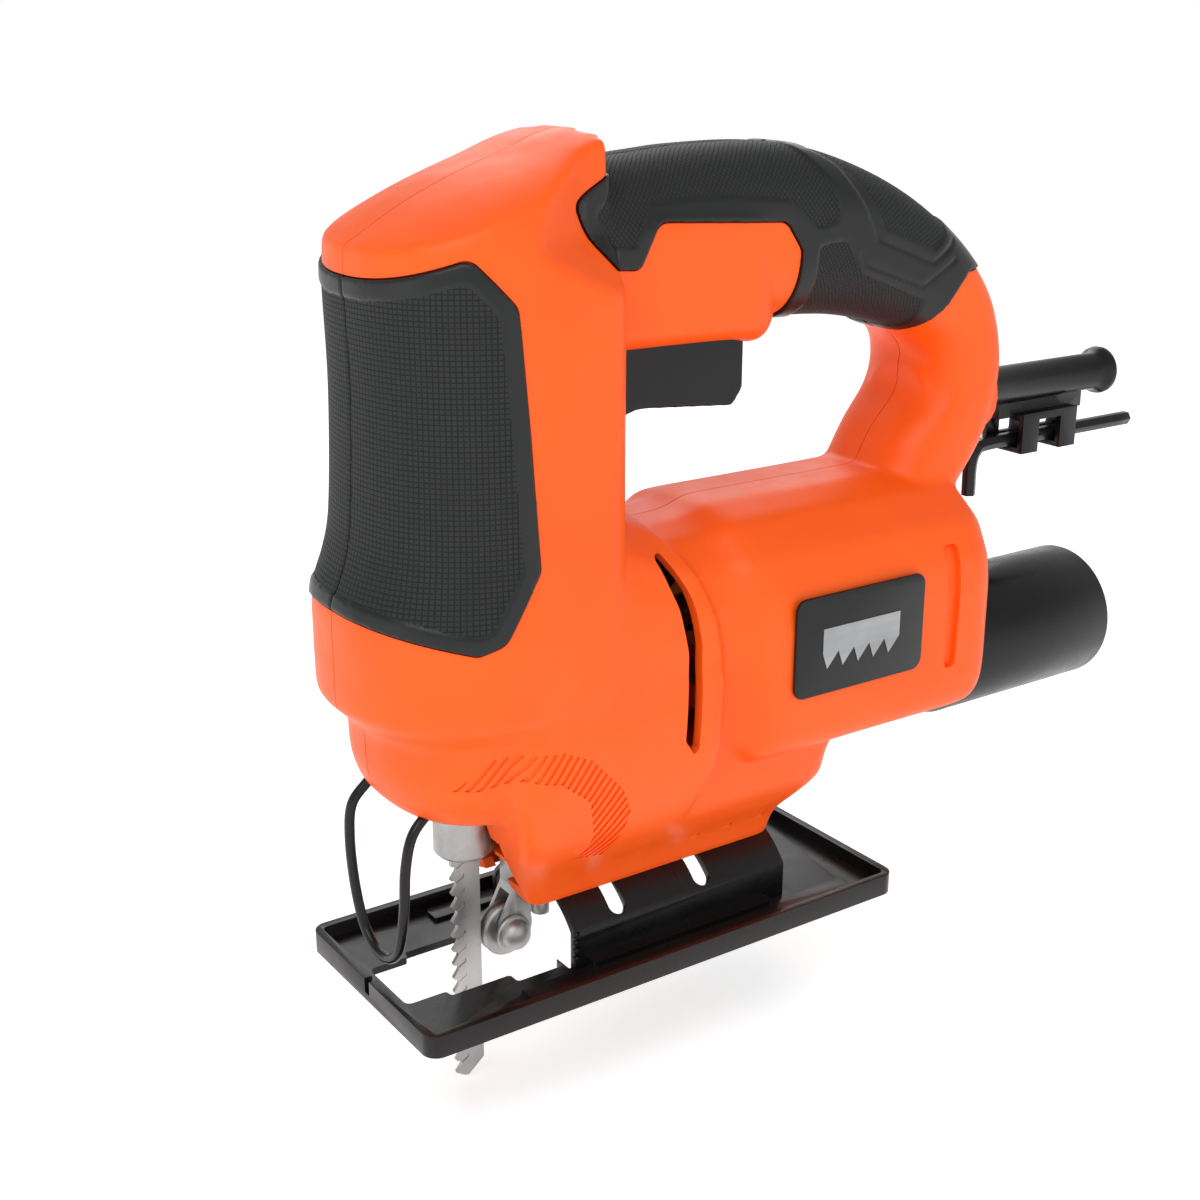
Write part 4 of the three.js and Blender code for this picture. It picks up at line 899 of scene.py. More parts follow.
class Recipe:
    """A material under construction, with short ways to add and join nodes."""

    def __init__(self, name):
        self.material = bpy.data.materials.new(name)
        self.material.use_nodes = True
        self.tree = self.material.node_tree
        self.shader = self.tree.nodes["Principled BSDF"]
        self.place = self.tree.nodes.new("ShaderNodeTexCoord").outputs["Object"]

    def node(self, kind, **settings):
        node = self.tree.nodes.new(kind)
        for key, value in settings.items():
            if hasattr(node, key):
                setattr(node, key, value)
            else:
                node.inputs[key.replace("_", " ").title()].default_value = value
        return node

    def join(self, start, end):
        self.tree.links.new(start, end)

    def stretched(self, scale):
        mapping = self.node("ShaderNodeMapping")
        mapping.inputs["Scale"].default_value = scale
        self.join(self.place, mapping.inputs["Vector"])
        return mapping.outputs["Vector"]

    def noise(self, scale, detail=3.0, source=None):
        node = self.node("ShaderNodeTexNoise", scale=scale, detail=detail)
        self.join(source or self.place, node.inputs["Vector"])
        return node.outputs["Fac"]

    def ranged(self, source, low, high, start=0.3, end=0.7):
        node = self.node("ShaderNodeMapRange")
        for key, value in (("From Min", start), ("From Max", end), ("To Min", low), ("To Max", high)):
            node.inputs[key].default_value = value
        self.join(source, node.inputs["Value"])
        return node.outputs["Result"]

    def maths(self, operation, first, second=None):
        node = self.node("ShaderNodeMath", operation=operation)
        for socket, value in zip(node.inputs, (first, second)):
            if value is None:
                continue
            if isinstance(value, (int, float)):
                socket.default_value = value
            else:
                self.join(value, socket)
        return node.outputs[0]

    def mixed(self, factor, first, second):
        node = self.node("ShaderNodeMix", data_type="RGBA")
        for socket, value in ((node.inputs[0], factor), (node.inputs[6], first), (node.inputs[7], second)):
            if isinstance(value, bpy.types.NodeSocket):
                self.join(value, socket)
            else:
                socket.default_value = value
        return node.outputs[2]

    def bump(self, height, depth, below=None):
        node = self.node("ShaderNodeBump")
        node.inputs["Strength"].default_value = 1.0
        node.inputs["Distance"].default_value = depth * MM
        self.join(height, node.inputs["Height"])
        if below:
            self.join(below, node.inputs["Normal"])
        return node.outputs["Normal"]

    def finish(self, colour, roughness, normal=None, **values):
        self.join(colour, self.shader.inputs["Base Color"])
        self.join(roughness, self.shader.inputs["Roughness"])
        if normal:
            self.join(normal, self.shader.inputs["Normal"])
        for key, value in values.items():
            self.shader.inputs[key.replace("_", " ").title().replace("Ior", "IOR")].default_value = value
        return self.material


def moulded(name, colour, shade, roughness, grain_scale=1400, grain_depth=0.02, **values):
    """Moulded plastic: a cloudy tint, a slightly uneven gloss and spark-eroded grain."""
    recipe = Recipe(name)
    tint = recipe.ranged(recipe.noise(28, 4.0), 0.0, 1.0)
    gloss = recipe.ranged(recipe.noise(160, 3.0), roughness - 0.05, roughness + 0.06)
    grain = recipe.bump(recipe.noise(grain_scale, 2.0), grain_depth)
    return recipe.finish(recipe.mixed(tint, linear(*colour), linear(*shade)), gloss, grain, **values)


def worked(name, colour, shade, roughness, stretch, scale=90, depth=0.012, metallic=1.0, **values):
    """Worked metal: fine marks drawn out along one direction."""
    recipe = Recipe(name)
    drawn = recipe.stretched(stretch)
    marks = recipe.noise(scale, 6.0, drawn)
    stains = recipe.noise(70, 4.0)
    tint = recipe.maths("MULTIPLY", recipe.ranged(marks, 0.3, 1.0), recipe.ranged(stains, 0.5, 1.0))
    gloss = recipe.ranged(marks, roughness - 0.08, roughness + 0.12)
    return recipe.finish(recipe.mixed(tint, linear(*shade), linear(*colour)), gloss,
                         recipe.bump(marks, depth), metallic=metallic, **values)


# %% Body, rubber and plastic finishes
orange = moulded("orange_shell", (254, 97, 20), (250, 89, 15), 0.42, specular_ior_level=0.28)
black_plastic = moulded("black_plastic", (12, 12, 13), (17, 17, 18), 0.27, specular_ior_level=0.3)
trigger_plastic = moulded("trigger_plastic", (16, 16, 17), (22, 22, 23), 0.34, specular_ior_level=0.3)
rubber_band = moulded("rubber_band", (19, 20, 21), (25, 26, 27), 0.36, grain_scale=900, grain_depth=0.015,
                      specular_ior_level=0.35)


def patterned_rubber(name, pitch, diagonal):
    """Rubber with rows of small pads, square to the grip or turned by an eighth, with painted shade in the
    grooves between them.
    """
    recipe = Recipe(name)
    source = recipe.node("ShaderNodeUVMap", uv_map="grip_map").outputs["UV"]
    parts = recipe.node("ShaderNodeSeparateXYZ")
    recipe.join(source, parts.inputs[0])
    first, second = parts.outputs[0], parts.outputs[1]
    if diagonal:
        first, second = recipe.maths("ADD", first, second), recipe.maths("SUBTRACT", first, second)
    turn = math.pi / (pitch * MM)
    waves = [recipe.maths("ABSOLUTE", recipe.maths("SINE", recipe.maths("MULTIPLY", axis, turn)))
             for axis in (first, second)]
    pads = recipe.maths("MINIMUM", *waves)
    height = recipe.ranged(pads, 0.0, 1.0, 0.1, 0.6)
    # Painted shade: the colour is darker in the grooves between the pads and lighter on the pad tops; the
    # noise called dust only varies at random how light each pad top is.
    dust = recipe.ranged(recipe.noise(45, 4.0), 0.0, 0.35)
    colour = recipe.mixed(recipe.maths("MULTIPLY", height, recipe.maths("ADD", dust, 0.65)),
                          linear(22, 23, 24), linear(38, 39, 40))
    gloss = recipe.ranged(height, 0.78, 0.58, 0.0, 1.0)
    return recipe.finish(colour, gloss, recipe.bump(height, 0.12), specular_ior_level=0.3)


square_rubber = patterned_rubber("square_rubber", 1.15, diagonal=False)
diamond_rubber = patterned_rubber("diamond_rubber", 1.35, diagonal=True)

# %% Metal finishes
painted_steel = moulded("painted_steel", (11, 11, 12), (17, 17, 18), 0.3, grain_scale=700, grain_depth=0.02,
                        specular_ior_level=0.28, coat_weight=0.1, coat_roughness=0.2)
blade_steel = worked("blade_steel", (200, 200, 198), (140, 141, 142), 0.36, (1, 12, 0.35))
ground_steel = worked("ground_steel", (190, 190, 188), (132, 133, 134), 0.34, (1, 1, 0.1))
cast_steel = worked("cast_steel", (206, 206, 204), (150, 150, 150), 0.46, (1, 1, 1), scale=260, depth=0.05)
screw_steel = worked("screw_steel", (150, 152, 154), (96, 98, 100), 0.36, (1, 0.2, 1), scale=300)
lamination_steel = worked("lamination_steel", (150, 152, 156), (70, 72, 76), 0.42, (1, 0.02, 0.02),
                          scale=1600, depth=0.05)
copper_wire = worked("copper_wire", (214, 122, 66), (128, 62, 30), 0.34, (0.08, 1, 1), scale=1500,
                     depth=0.12)
bronze = worked("bronze", (176, 134, 78), (120, 88, 48), 0.44, (1, 1, 0.2), scale=220)
brush_carbon = worked("brush_carbon", (62, 62, 64), (34, 34, 36), 0.62, (1, 0.3, 1), scale=400,
                      metallic=0.2)
cast_aluminium = worked("cast_aluminium", (188, 190, 192), (140, 143, 146), 0.5, (1, 1, 1), scale=420,
                        depth=0.06)
badge_face = moulded("badge_face", (20, 20, 21), (25, 25, 26), 0.32, grain_scale=900, grain_depth=0.01,
                     specular_ior_level=0.3)
print("finishes:", len(bpy.data.materials))

# %% [markdown]
# ## Handing a piece over
#
# A finished piece is shaded smooth except across its sharp edges, gets its finish, takes the place of
# its plain framed node, and rides on that node's body.

# %% Hand-over helper
BODY_OF = {node: piece["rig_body"] for node, piece in frame["nodes"].items()}
made = []


def stand_in(piece, node, material, angle=32):
    pick(piece)
    bpy.ops.object.shade_smooth_by_angle(angle=math.radians(angle))
    if not isinstance(material, list):
        material = [material]
    while len(piece.data.materials) < len(material):
        piece.data.materials.append(None)
    while len(piece.data.materials) > len(material):
        piece.data.materials.pop(index=len(piece.data.materials) - 1)
    for i, each in enumerate(material):
        piece.data.materials[i] = each
    nodes = [node] if isinstance(node, str) else node
    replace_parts(piece, *nodes)
    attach(piece, BODY_OF[nodes[0]])
    made.append(piece)
    return piece


for piece, node in zip(housing, ("housing_left", "housing_right")):
    stand_in(piece, node, orange, angle=28)


def inside_outline(places, outline):
    """Which places lie inside an outline in X and Z."""
    ring = np.array([point[:2] for point in outline]) * MM
    inside = np.zeros(len(places), bool)
    for (x0, z0), (x1, z1) in zip(ring, np.roll(ring, -1, axis=0)):
        crosses = (z0 > places[:, 2]) != (z1 > places[:, 2])
        edge = x0 + (places[:, 2] - z0) / np.where(z1 == z0, 1e-12, z1 - z0) * (x1 - x0)
        inside ^= crosses & (places[:, 0] < edge)
    return inside


for piece in grips:
    front = piece.name.startswith("front")
    fields = FRONT_FIELDS if front else HANDLE_FIELDS
    centres = np.empty(len(piece.data.polygons) * 3)
    piece.data.polygons.foreach_get("center", centres)
    centres = centres.reshape(-1, 3)
    patterned = np.zeros(len(centres), int)
    for field in fields:
        patterned |= inside_outline(centres, rounded(widened(field, -0.5))).astype(int)
    piece.data.materials.clear()
    piece.data.materials.append(rubber_band)
    piece.data.materials.append(square_rubber if front else diamond_rubber)
    piece.data.polygons.foreach_set("material_index", patterned)
    node = piece.name.replace("_skin", "")
    stand_in(piece, node, list(piece.data.materials), angle=40)
    print(piece.name, "patterned faces:", int(patterned.sum()))

# %% [markdown]
# ## Softened edges
#
# Stamped, turned and moulded pieces have no knife edges. A Bevel modifier limited by angle rounds
# only the sharp ones, and that thin bright line is what makes a piece look made.

# %% Soften helper
def soften(piece, width, segments=2, angle=35):
    return apply(piece, "BEVEL", width=width * MM, segments=segments, limit_method="ANGLE",
                 angle_limit=math.radians(angle), harden_normals=False)


# %% [markdown]
# ## Shoe
#
# The shoe is pressed steel: a tray with a turned-up rim, a window round the blade, and an arched
# saddle that the foot tilts on. The tray is an outline extruded and hollowed. The saddle could be a
# tube cut in half, but an arc on upright walls leaves room for the pressed folds beside it.

# %% Shoe
SHOE_FRONT = -28.3
SHOE_REAR = 118.7
SHOE_HALF = 32
RIM_HEIGHT = 5.8
RIM_WALL = 2.2
SHEET = 2
SADDLE_FRONT = 20
SADDLE_REAR = 88


def tray_outline(inset, radius):
    return rounded([(SHOE_FRONT + inset, -SHOE_HALF + inset, radius),
                    (SHOE_REAR - inset, -SHOE_HALF + inset, radius),
                    (SHOE_REAR - inset, SHOE_HALF - inset, radius),
                    (SHOE_FRONT + inset, SHOE_HALF - inset, radius)])


def sector(inner, outer, half_angle):
    """Part of a ring about the tilt axis, opening upwards, in Y and Z."""
    turns = np.radians(np.linspace(-half_angle, half_angle, 41))
    return ([(outer * math.sin(a), TILT_AXIS_Z + outer * math.cos(a)) for a in turns]
            + [(inner * math.sin(a), TILT_AXIS_Z + inner * math.cos(a)) for a in turns[::-1]])


shoe = plate("pressed_shoe", tray_outline(0, 4), "z", 0, RIM_HEIGHT)
carve(shoe, plate("tray", tray_outline(RIM_WALL, 1.8), "z", SHEET, RIM_HEIGHT + 1))
# The saddle is an arch: an arc about the tilt axis that stands on two upright walls.
ARCH_ANGLE = 55
arch_half = SADDLE_RADIUS * math.sin(math.radians(ARCH_ANGLE))
arch_inner = arch_half - SHEET
inner_angle = math.degrees(math.asin(arch_inner / (SADDLE_RADIUS - SHEET)))
arch = [(arch_half, 0.5), (arch_inner, 0.5)]
for radius, limit, way in ((SADDLE_RADIUS - SHEET, inner_angle, -1), (SADDLE_RADIUS, ARCH_ANGLE, 1)):
    turns = np.radians(np.linspace(-limit * way, limit * way, 61))
    if way > 0:
        arch += [(-arch_inner, 0.5), (-arch_half, 0.5)]
    arch += [(radius * math.sin(a), TILT_AXIS_Z + radius * math.cos(a)) for a in turns]
saddle = plate("saddle", arch, "x", SADDLE_FRONT, SADDLE_REAR)
flanges = []
for side in (-1, 1):
    near, far = side * (SADDLE_RADIUS - 3), side * (SADDLE_RADIUS + 2.7)
    strip = [(3, near, 0.4), (SADDLE_REAR + 19, near, 0.4), (SADDLE_REAR + 19, far, 1.6), (3, far, 1.6)]
    flanges.append(plate("flange", rounded(strip), "z", SHEET - 0.5, SHEET + 1.2))
    lap = [(SADDLE_FRONT + 3.5, side * 15, 1), (SADDLE_REAR + 4, side * 15, 1),
           (SADDLE_REAR + 4, side * 27.6, 1),
           (SADDLE_FRONT + 3.5, side * 27.6, 1)]
    flanges.append(plate("lap", rounded(lap), "z", SHEET - 0.5, SHEET + 0.9))
    fold = [(SADDLE_FRONT + 4, side * (arch_half - 0.5)), (SADDLE_REAR - 6, side * (arch_half - 0.5)),
            (SADDLE_REAR - 6, side * (arch_half + 3.2), 1.4),
            (SADDLE_FRONT + 4, side * (arch_half + 3.2), 1.4)]
    flanges.append(plate("fold", rounded(fold), "z", SHEET - 0.5, SHEET + 2.6))
weld(shoe, saddle, *flanges)
window = [(-22.6, -10, 1.8), (-11.5, -10, 1), (-11.5, -12.3, 1), (5.5, -12.3, 1), (5.5, -16, 1),
          (19, -16, 1),
          (19, -12.3, 1), (26, -12.3), (26, 12.3), (-11.5, 12.3, 1), (-11.5, 10, 1), (-22.6, 10, 1.8)]
shoe_tools = [
    block("tunnel", SADDLE_FRONT - 0.5, SADDLE_REAR + 0.5, -arch_inner, arch_inner, -1, 4.8),
    plate("window", rounded(window), "z", -1, 4),
    block("sight_notch", SHOE_FRONT - 1, SHOE_FRONT + 2.5, -1.2, 1.2, SHEET, RIM_HEIGHT + 1),
]
carve(shoe, block("below", -100, 200, -60, 60, -60, 0), *shoe_tools)
for x in SADDLE_SCREWS:
    carve(shoe, plate("arc_slot", sector(SADDLE_RADIUS - 4, SADDLE_RADIUS + 2, 46), "x", x - 2.6, x + 2.6))
    for turn in (-46, 46):
        slot_end = bar("slot_end", "z", 2.6, SADDLE_RADIUS - 6, SADDLE_RADIUS + 4, (x, 0, 0))
        pick(slot_end)
        bpy.ops.transform.rotate(value=math.radians(turn), orient_axis="X", center_override=(0, 0, 0))
        bpy.ops.transform.translate(value=(0, 0, TILT_AXIS_Z * MM))
        carve(shoe, settle(slot_end, "slot_end"))
# The saddle's front edge is stamped with a row of small notches.
for k in range(5):
    carve(shoe, bar("notch", "x", 0.8, SADDLE_FRONT - 2, SADDLE_FRONT + 1.4,
                    (0, -arch_half, 5.5 + 2.2 * k), sides=12))
soften(shoe, 0.55, segments=3)
stand_in(shoe, "shoe", painted_steel, angle=40)
print("shoe:", len(shoe.data.polygons), "faces")

# %% Saddle clamp and its screws
clamp_plate = plate("clamp_plate", sector(SADDLE_RADIUS - 4.3, SADDLE_RADIUS - 2.3, 9), "x",
                    SADDLE_SCREWS[0] - 6, SADDLE_SCREWS[1] + 6)
for x in SADDLE_SCREWS:
    carve(clamp_plate, bar("hole", "z", SCREW_RADIUS + GAP, 0, 40, (x, 0, 0), sides=32))
soften(clamp_plate, 0.3)
stand_in(clamp_plate, "saddle_clamp", cast_steel)


def pan_screw(name, head, tip, axis, place):
    """A pan-head screw with a cross recess; head and tip are distances along its axis."""
    way = 1 if head > tip else -1
    profile = [(0, tip), (SCREW_RADIUS, tip + way * 1.2), (SCREW_RADIUS, head - way * SCREW_HEAD),
               (SCREW_HEAD_RADIUS, head - way * SCREW_HEAD), (SCREW_HEAD_RADIUS, head - way * 1.1),
               (SCREW_HEAD_RADIUS - 0.5, head - way * 0.35), (SCREW_HEAD_RADIUS - 1.4, head), (0, head)]
    screw = turned(name, profile, axis, place, steps=32)
    low, high = sorted((head + way, head - way * 1.5))
    x, y, z = place
    if axis == "y":
        carve(screw, block("recess", x - 0.5, x + 0.5, low, high, z - 2, z + 2),
              block("recess", x - 2, x + 2, low, high, z - 0.5, z + 0.5))
    else:
        carve(screw, block("recess", x - 0.5, x + 0.5, y - 2, y + 2, low, high),
              block("recess", x - 2, x + 2, y - 0.5, y + 0.5, low, high))
    return screw


for name, (x, z, head) in HOUSING_SCREWS.items():
    stand_in(pan_screw("driven_" + name, head, -8, "y", (x, 0, z)), name, screw_steel)
clamp_under = TILT_AXIS_Z + (SADDLE_RADIUS - 4.3) * math.cos(0.18) - GAP
for i, x in enumerate(SADDLE_SCREWS):
    node = "saddle_screw_" + str(i + 1)
    screw = pan_screw("driven_" + node, clamp_under - SCREW_HEAD, 35, "z", (x, 0, 0))
    stand_in(screw, node, screw_steel)


# %% [markdown]
# ## Trigger
#
# The trigger is a finger-wide moulding with a hollowed underside. A bevel would fail on its tight
# corners, so it is remeshed finely and relaxed, which rounds every edge by the same small amount.
# The flange that keeps it in the handle is welded on after, because it stays flat.

# %% Trigger
FLANGE_Z = 160.4
FLANGE = 2


def relaxed(piece, voxel, passes):
    """Rounds all of a moulding's edges."""
    apply(piece, "REMESH", mode="VOXEL", voxel_size=voxel * MM)
    return apply(piece, "SMOOTH", factor=0.5, iterations=passes)


trigger_outline = [(TRIGGER_FRONT, TRIGGER_BOTTOM - 1.5, 1.5),
                   (TRIGGER_FRONT + 12, TRIGGER_BOTTOM + 2.6, 12),
                   (TRIGGER_REAR - 3, TRIGGER_BOTTOM, 2), (TRIGGER_REAR, TRIGGER_BOTTOM + 4, 2),
                   (TRIGGER_REAR, FLANGE_Z + 1), (TRIGGER_FRONT, FLANGE_Z + 1)]
trigger = plate("finger_trigger", rounded(trigger_outline), "y", -TRIGGER_HALF, TRIGGER_HALF)
relaxed(trigger, 0.45, 12)
carve(trigger, block("above", 0, 120, -30, 30, FLANGE_Z, 200))
weld(trigger, block("flange", TRIGGER_FRONT - 1.5, TRIGGER_REAR + 1.5, -TRIGGER_HALF - 1.2,
                    TRIGGER_HALF + 1.2,
                    FLANGE_Z - 0.01, FLANGE_Z + FLANGE))
stand_in(trigger, "trigger", trigger_plastic)
print("trigger:", len(trigger.data.polygons), "faces")

# %% [markdown]
# ## Side plates
#
# A dark plate sits in each flank of the motor barrel. It carries a plain row of saw teeth as its only
# mark: a zigzag strip, inlaid a little proud, with its own lighter finish.

# %% Badges
BADGE_PLACE = (96.4, 81.5)
BADGE_SIZE = (44, 27)
BADGE_INNER = 36.1
BADGE_THICKNESS = 1.2
TOOTH_COUNT = 5


def badge_corners(inset, radius):
    half_x, half_z = (size / 2 - inset for size in BADGE_SIZE)
    x, z = BADGE_PLACE
    return rounded([(x - half_x, z - half_z, radius), (x + half_x, z - half_z, radius),
                    (x + half_x, z + half_z, radius), (x - half_x, z + half_z, radius)])


def zigzag():
    """A strip of saw teeth: a straight back, and a front of even points."""
    x, z = BADGE_PLACE
    step = 5.2
    start = x - step * TOOTH_COUNT / 2
    front = [(start + step * (k + share), z - 2.2 + rise) for k in range(TOOTH_COUNT)
             for share, rise in ((0, 0), (0.3, -4.2))]
    return front + [(start + step * TOOTH_COUNT, z - 2.2), (start + step * TOOTH_COUNT, z + 4.4),
                    (start, z + 4.4)]


badge_mark = worked("badge_mark", (176, 178, 180), (140, 142, 144), 0.4, (0.1, 1, 1), scale=300)
for name, side in (("badge_left", -1), ("badge_right", 1)):
    low, high = sorted((side * BADGE_INNER, side * (BADGE_INNER + BADGE_THICKNESS - 0.15)))
    badge = plate("side_" + name, badge_corners(0.3, 3.2), "y", low, high)
    soften(badge, 0.35)
    low, high = sorted((side * (BADGE_INNER + 0.5), side * (BADGE_INNER + BADGE_THICKNESS)))
    mark = plate("mark", zigzag(), "y", low, high)
    badge.data.materials.append(badge_face)
    badge.data.materials.append(badge_mark)
    mark.data.materials.append(badge_mark)
    pick(badge, mark)
    bpy.ops.object.join()
    stand_in(badge, name, list(badge.data.materials))
print("side plates:", BADGE_SIZE)

# %% [markdown]
# ## Blade and its clamp
#
# The blade is a strip whose teeth are drawn in its outline. A real blade is ground on a slant between
# its teeth, from each side in turn, so a shallow slanted facet is cut into one face and then the other.

# %% Blade
BLADE_FRONT = -4.1
BLADE_BACK = 4.1
BLADE_TOP = 44
BLADE_TIP = -31.4
BLADE_HALF = 0.6
FIRST_TOOTH = 30
TOOTH_PITCH = 4
teeth = [(BLADE_BACK, BLADE_TOP), (BLADE_FRONT, BLADE_TOP)]
tooth_rows = int((FIRST_TOOTH - BLADE_TIP) / TOOTH_PITCH)
for k in range(tooth_rows):
    z = FIRST_TOOTH - k * TOOTH_PITCH
    teeth += [(BLADE_FRONT + 0.15, z - 0.1), (BLADE_FRONT + 1.15, z - 0.45), (BLADE_FRONT + 1.6, z - 1.1),
              (BLADE_FRONT + 1.3, z - 1.9), (BLADE_FRONT, z - TOOTH_PITCH + 0.4)]
teeth += [(BLADE_FRONT + 2.5, BLADE_TIP + 0.3), (BLADE_FRONT + 3.5, BLADE_TIP), (BLADE_BACK, BLADE_TIP + 4)]
blade = plate("saw_blade", teeth, "y", -BLADE_HALF, BLADE_HALF)
for k in range(tooth_rows):
    z = FIRST_TOOTH - k * TOOTH_PITCH
    facet = [(BLADE_FRONT - 1, z - 2.6), (BLADE_FRONT - 1, z - 0.9), (BLADE_FRONT + 3.7, z + 1.2),
             (BLADE_FRONT + 3.7, z + 0.1)]
    side = -1 if k % 2 else 1
    for flank in (-1, 1):
        depth = 0.34 if flank == side else 0.16
        low, high = sorted((flank * (BLADE_HALF - depth), flank * 2))
        carve(blade, plate("facet", facet, "y", low, high))
stand_in(blade, "blade", blade_steel, angle=20)

clamp = turned("clamp_body", [(0, CLAMP_BOTTOM), (CLAMP_RADIUS - 1.2, CLAMP_BOTTOM),
                              (CLAMP_RADIUS, CLAMP_BOTTOM + 1.2),
                              (CLAMP_RADIUS, CLAMP_TOP - 1.2), (CLAMP_RADIUS - 1.2, CLAMP_TOP),
                              (0, CLAMP_TOP)],
               "z", (0, 0, 0), steps=64)
carve(clamp, bar("rod_room", "z", 4.3, CLAMP_TOP - 4.8, CLAMP_TOP + 1),
      block("blade_room", BLADE_FRONT - 0.35, BLADE_BACK + 0.35, -BLADE_HALF - 0.35, BLADE_HALF + 0.35,
            CLAMP_BOTTOM - 1, BLADE_TOP + GAP),
      bar("screw_room", "y", 2.3, 0, 20, (0, 0, CLAMP_BOTTOM + 6)))
soften(clamp, 0.2)
stand_in(clamp, "blade_clamp", cast_steel)
grub = bar("grub_screw", "y", 2, BLADE_HALF + GAP, CLAMP_RADIUS - 0.2, (0, 0, CLAMP_BOTTOM + 6), sides=32)
carve(grub, bar("socket", "y", 1.1, CLAMP_RADIUS - 2.4, CLAMP_RADIUS + 1, (0, 0, CLAMP_BOTTOM + 6),
                sides=6))
stand_in(grub, "clamp_screw", screw_steel)
print("blade:", len(blade.data.polygons), "faces,", tooth_rows, "teeth")

# %% [markdown]
# ## Support roller and wire guard
#
# The grooved roller steadies the back of the blade. It is turned, like its bolt, and both sit in a
# pressed bracket. The guard is one bent wire: a curve with a round bevel, run through its bends.

# %% Roller, bracket and guard
ROLLER_RADIUS = 7.3
ROLLER_X = BLADE_BACK + 0.2 + ROLLER_RADIUS
ROLLER_Z = 8.2
ROLLER_PLACE = (ROLLER_X, 0, ROLLER_Z)
roller = turned("grooved_roller", [(2.3, -2), (ROLLER_RADIUS - 0.6, -2), (ROLLER_RADIUS, -1.5),
                                   (ROLLER_RADIUS, -0.85),
                                   (ROLLER_RADIUS - 0.8, -0.7), (ROLLER_RADIUS - 0.8, 0.7),
                                   (ROLLER_RADIUS, 0.85),
                                   (ROLLER_RADIUS, 1.5), (ROLLER_RADIUS - 0.6, 2), (2.3, 2)], "y",
                                   ROLLER_PLACE, steps=64)
stand_in(roller, "support_roller", ground_steel)
bolt = turned("domed_bolt", [(0, -8.2), (1.4, -8.1), (2.6, -7.7), (3.5, -7), (4, -6), (4.1, -5),
                             (4.8, -4.9), (5, -4.6),
                             (5, -4.1), (4.8, -3.8), (2, -3.8), (2, 4.1), (0, 4.1)], "y", ROLLER_PLACE,
                             steps=48)
stand_in(bolt, "roller_bolt", cast_steel)
cheek = rounded([(ROLLER_X - 3.6, ROLLER_Z - 3.6, 2), (ROLLER_X + 3.4, ROLLER_Z - 3.6, 2), (19, 17, 2),
                 (19, 30),
                 (12.5, 30), (12.5, 20, 3), (ROLLER_X - 3.6, ROLLER_Z + 3, 2)])
bracket = plate("pressed_bracket", cheek, "y", -3.5, 3.5)
carve(bracket, block("between", 0, 30, -2.3, 2.3, 0, ROLLER_Z + ROLLER_RADIUS + 3),
      bar("hole", "y", 2.3, -10, 10, ROLLER_PLACE, sides=32))
weld(bracket, block("arm", 14, 18.5, -8, -3, 17, 19), bar("lug", "z", 2.3, 14.6, 19, (17.4, -8, 0)))
soften(bracket, 0.25)
stand_in(bracket, "roller_bracket", cast_steel)
guard = wire("bent_guard", BLADE_GUARD_ROUTE, GUARD_RADIUS, sides=20, fineness=8)
stand_in(guard, "wire_guard", painted_steel)
print("guard:", len(guard.data.polygons), "faces")

# %% [markdown]
# ## Rear fittings
#
# The strain sleeve is turned with its lip and collar. Its clip is a thin web with two see-through
# windows and front tabs, between which the hexagon key is pressed. The dust adaptor is a turned
# tube with a rounded rim, welded to the neck that plugs into the duct.

# %% Cord sleeve and its key clip
SLEEVE_BORE = 3.4
sleeve = turned("strain_sleeve", [
    (SLEEVE_BORE, 154), (SLEEVE_RADIUS, 154), (SLEEVE_RADIUS, 170.3), (SLEEVE_RADIUS + 1.4, 170.3),
    (SLEEVE_RADIUS + 1.4, 172.4), (SLEEVE_RADIUS + 0.8, 173), (SLEEVE_RADIUS, 173.2),
    (SLEEVE_RADIUS - 0.2, 218),
    (SLEEVE_RADIUS + 0.5, 220.6), (SLEEVE_RADIUS + 1.2, 221.4), (SLEEVE_RADIUS + 1.4, 222.4),
    (SLEEVE_RADIUS + 1.2, 223.5),
    (SLEEVE_RADIUS + 0.6, 224), (SLEEVE_BORE + 0.4, 224), (SLEEVE_BORE, 223.4)], "x", (0, 0, SLEEVE_Z),
    steps=72)
clip = plate("clip", rounded([(180, 110.3, 1), (215, 110.3, 1), (215, 121, 1), (213, 127.4), (182, 127.4),
                              (180, 121, 1)]),
             "y", 2.9, 4.6)
for x in (185, 201):
    carve(clip, plate("clip_window", rounded([(x, 115.4, 0.6), (x + 6, 115.4, 0.6), (x + 6, 119.2, 0.6),
                                              (x, 119.2, 0.6)]),
                      "y", 0, 10))
for x in (187, 203):
    weld(clip, block("tab", x, x + 6.8, -4.6, -2.9, 109.8, 120.4),
         block("strip", x, x + 6.8, -4.6, 4.6, 109.6, 111.1))
weld(clip, block("web", 180, 215, -1.2, 4.6, 120.2, 126.4),
     block("web_front", 187, 209.8, -4.6, 1, 119.2, 121.4))
carve(clip, bar("bore", "x", SLEEVE_RADIUS - 1, 150, 240, (0, 0, SLEEVE_Z)))
weld(sleeve, clip)
soften(sleeve, 0.22, segments=2, angle=40)
stand_in(sleeve, "cord_sleeve", black_plastic)
print("sleeve:", len(sleeve.data.polygons), "faces")

# %% Hexagon key and dust adaptor
KEY_Z = 113.4
KEY_RADIUS = 2.1
key = wire("bent_key", [[238, 0, KEY_Z], [200, 0, KEY_Z], [177, 0, KEY_Z], [172.6, 0, KEY_Z - 1.6],
                        [171, 0, KEY_Z - 6],
                        [171, 0, KEY_Z - 14.5]], KEY_RADIUS, sides=6, fineness=8)
soften(key, 0.15, segments=2, angle=40)
stand_in(key, "hex_key", painted_steel)

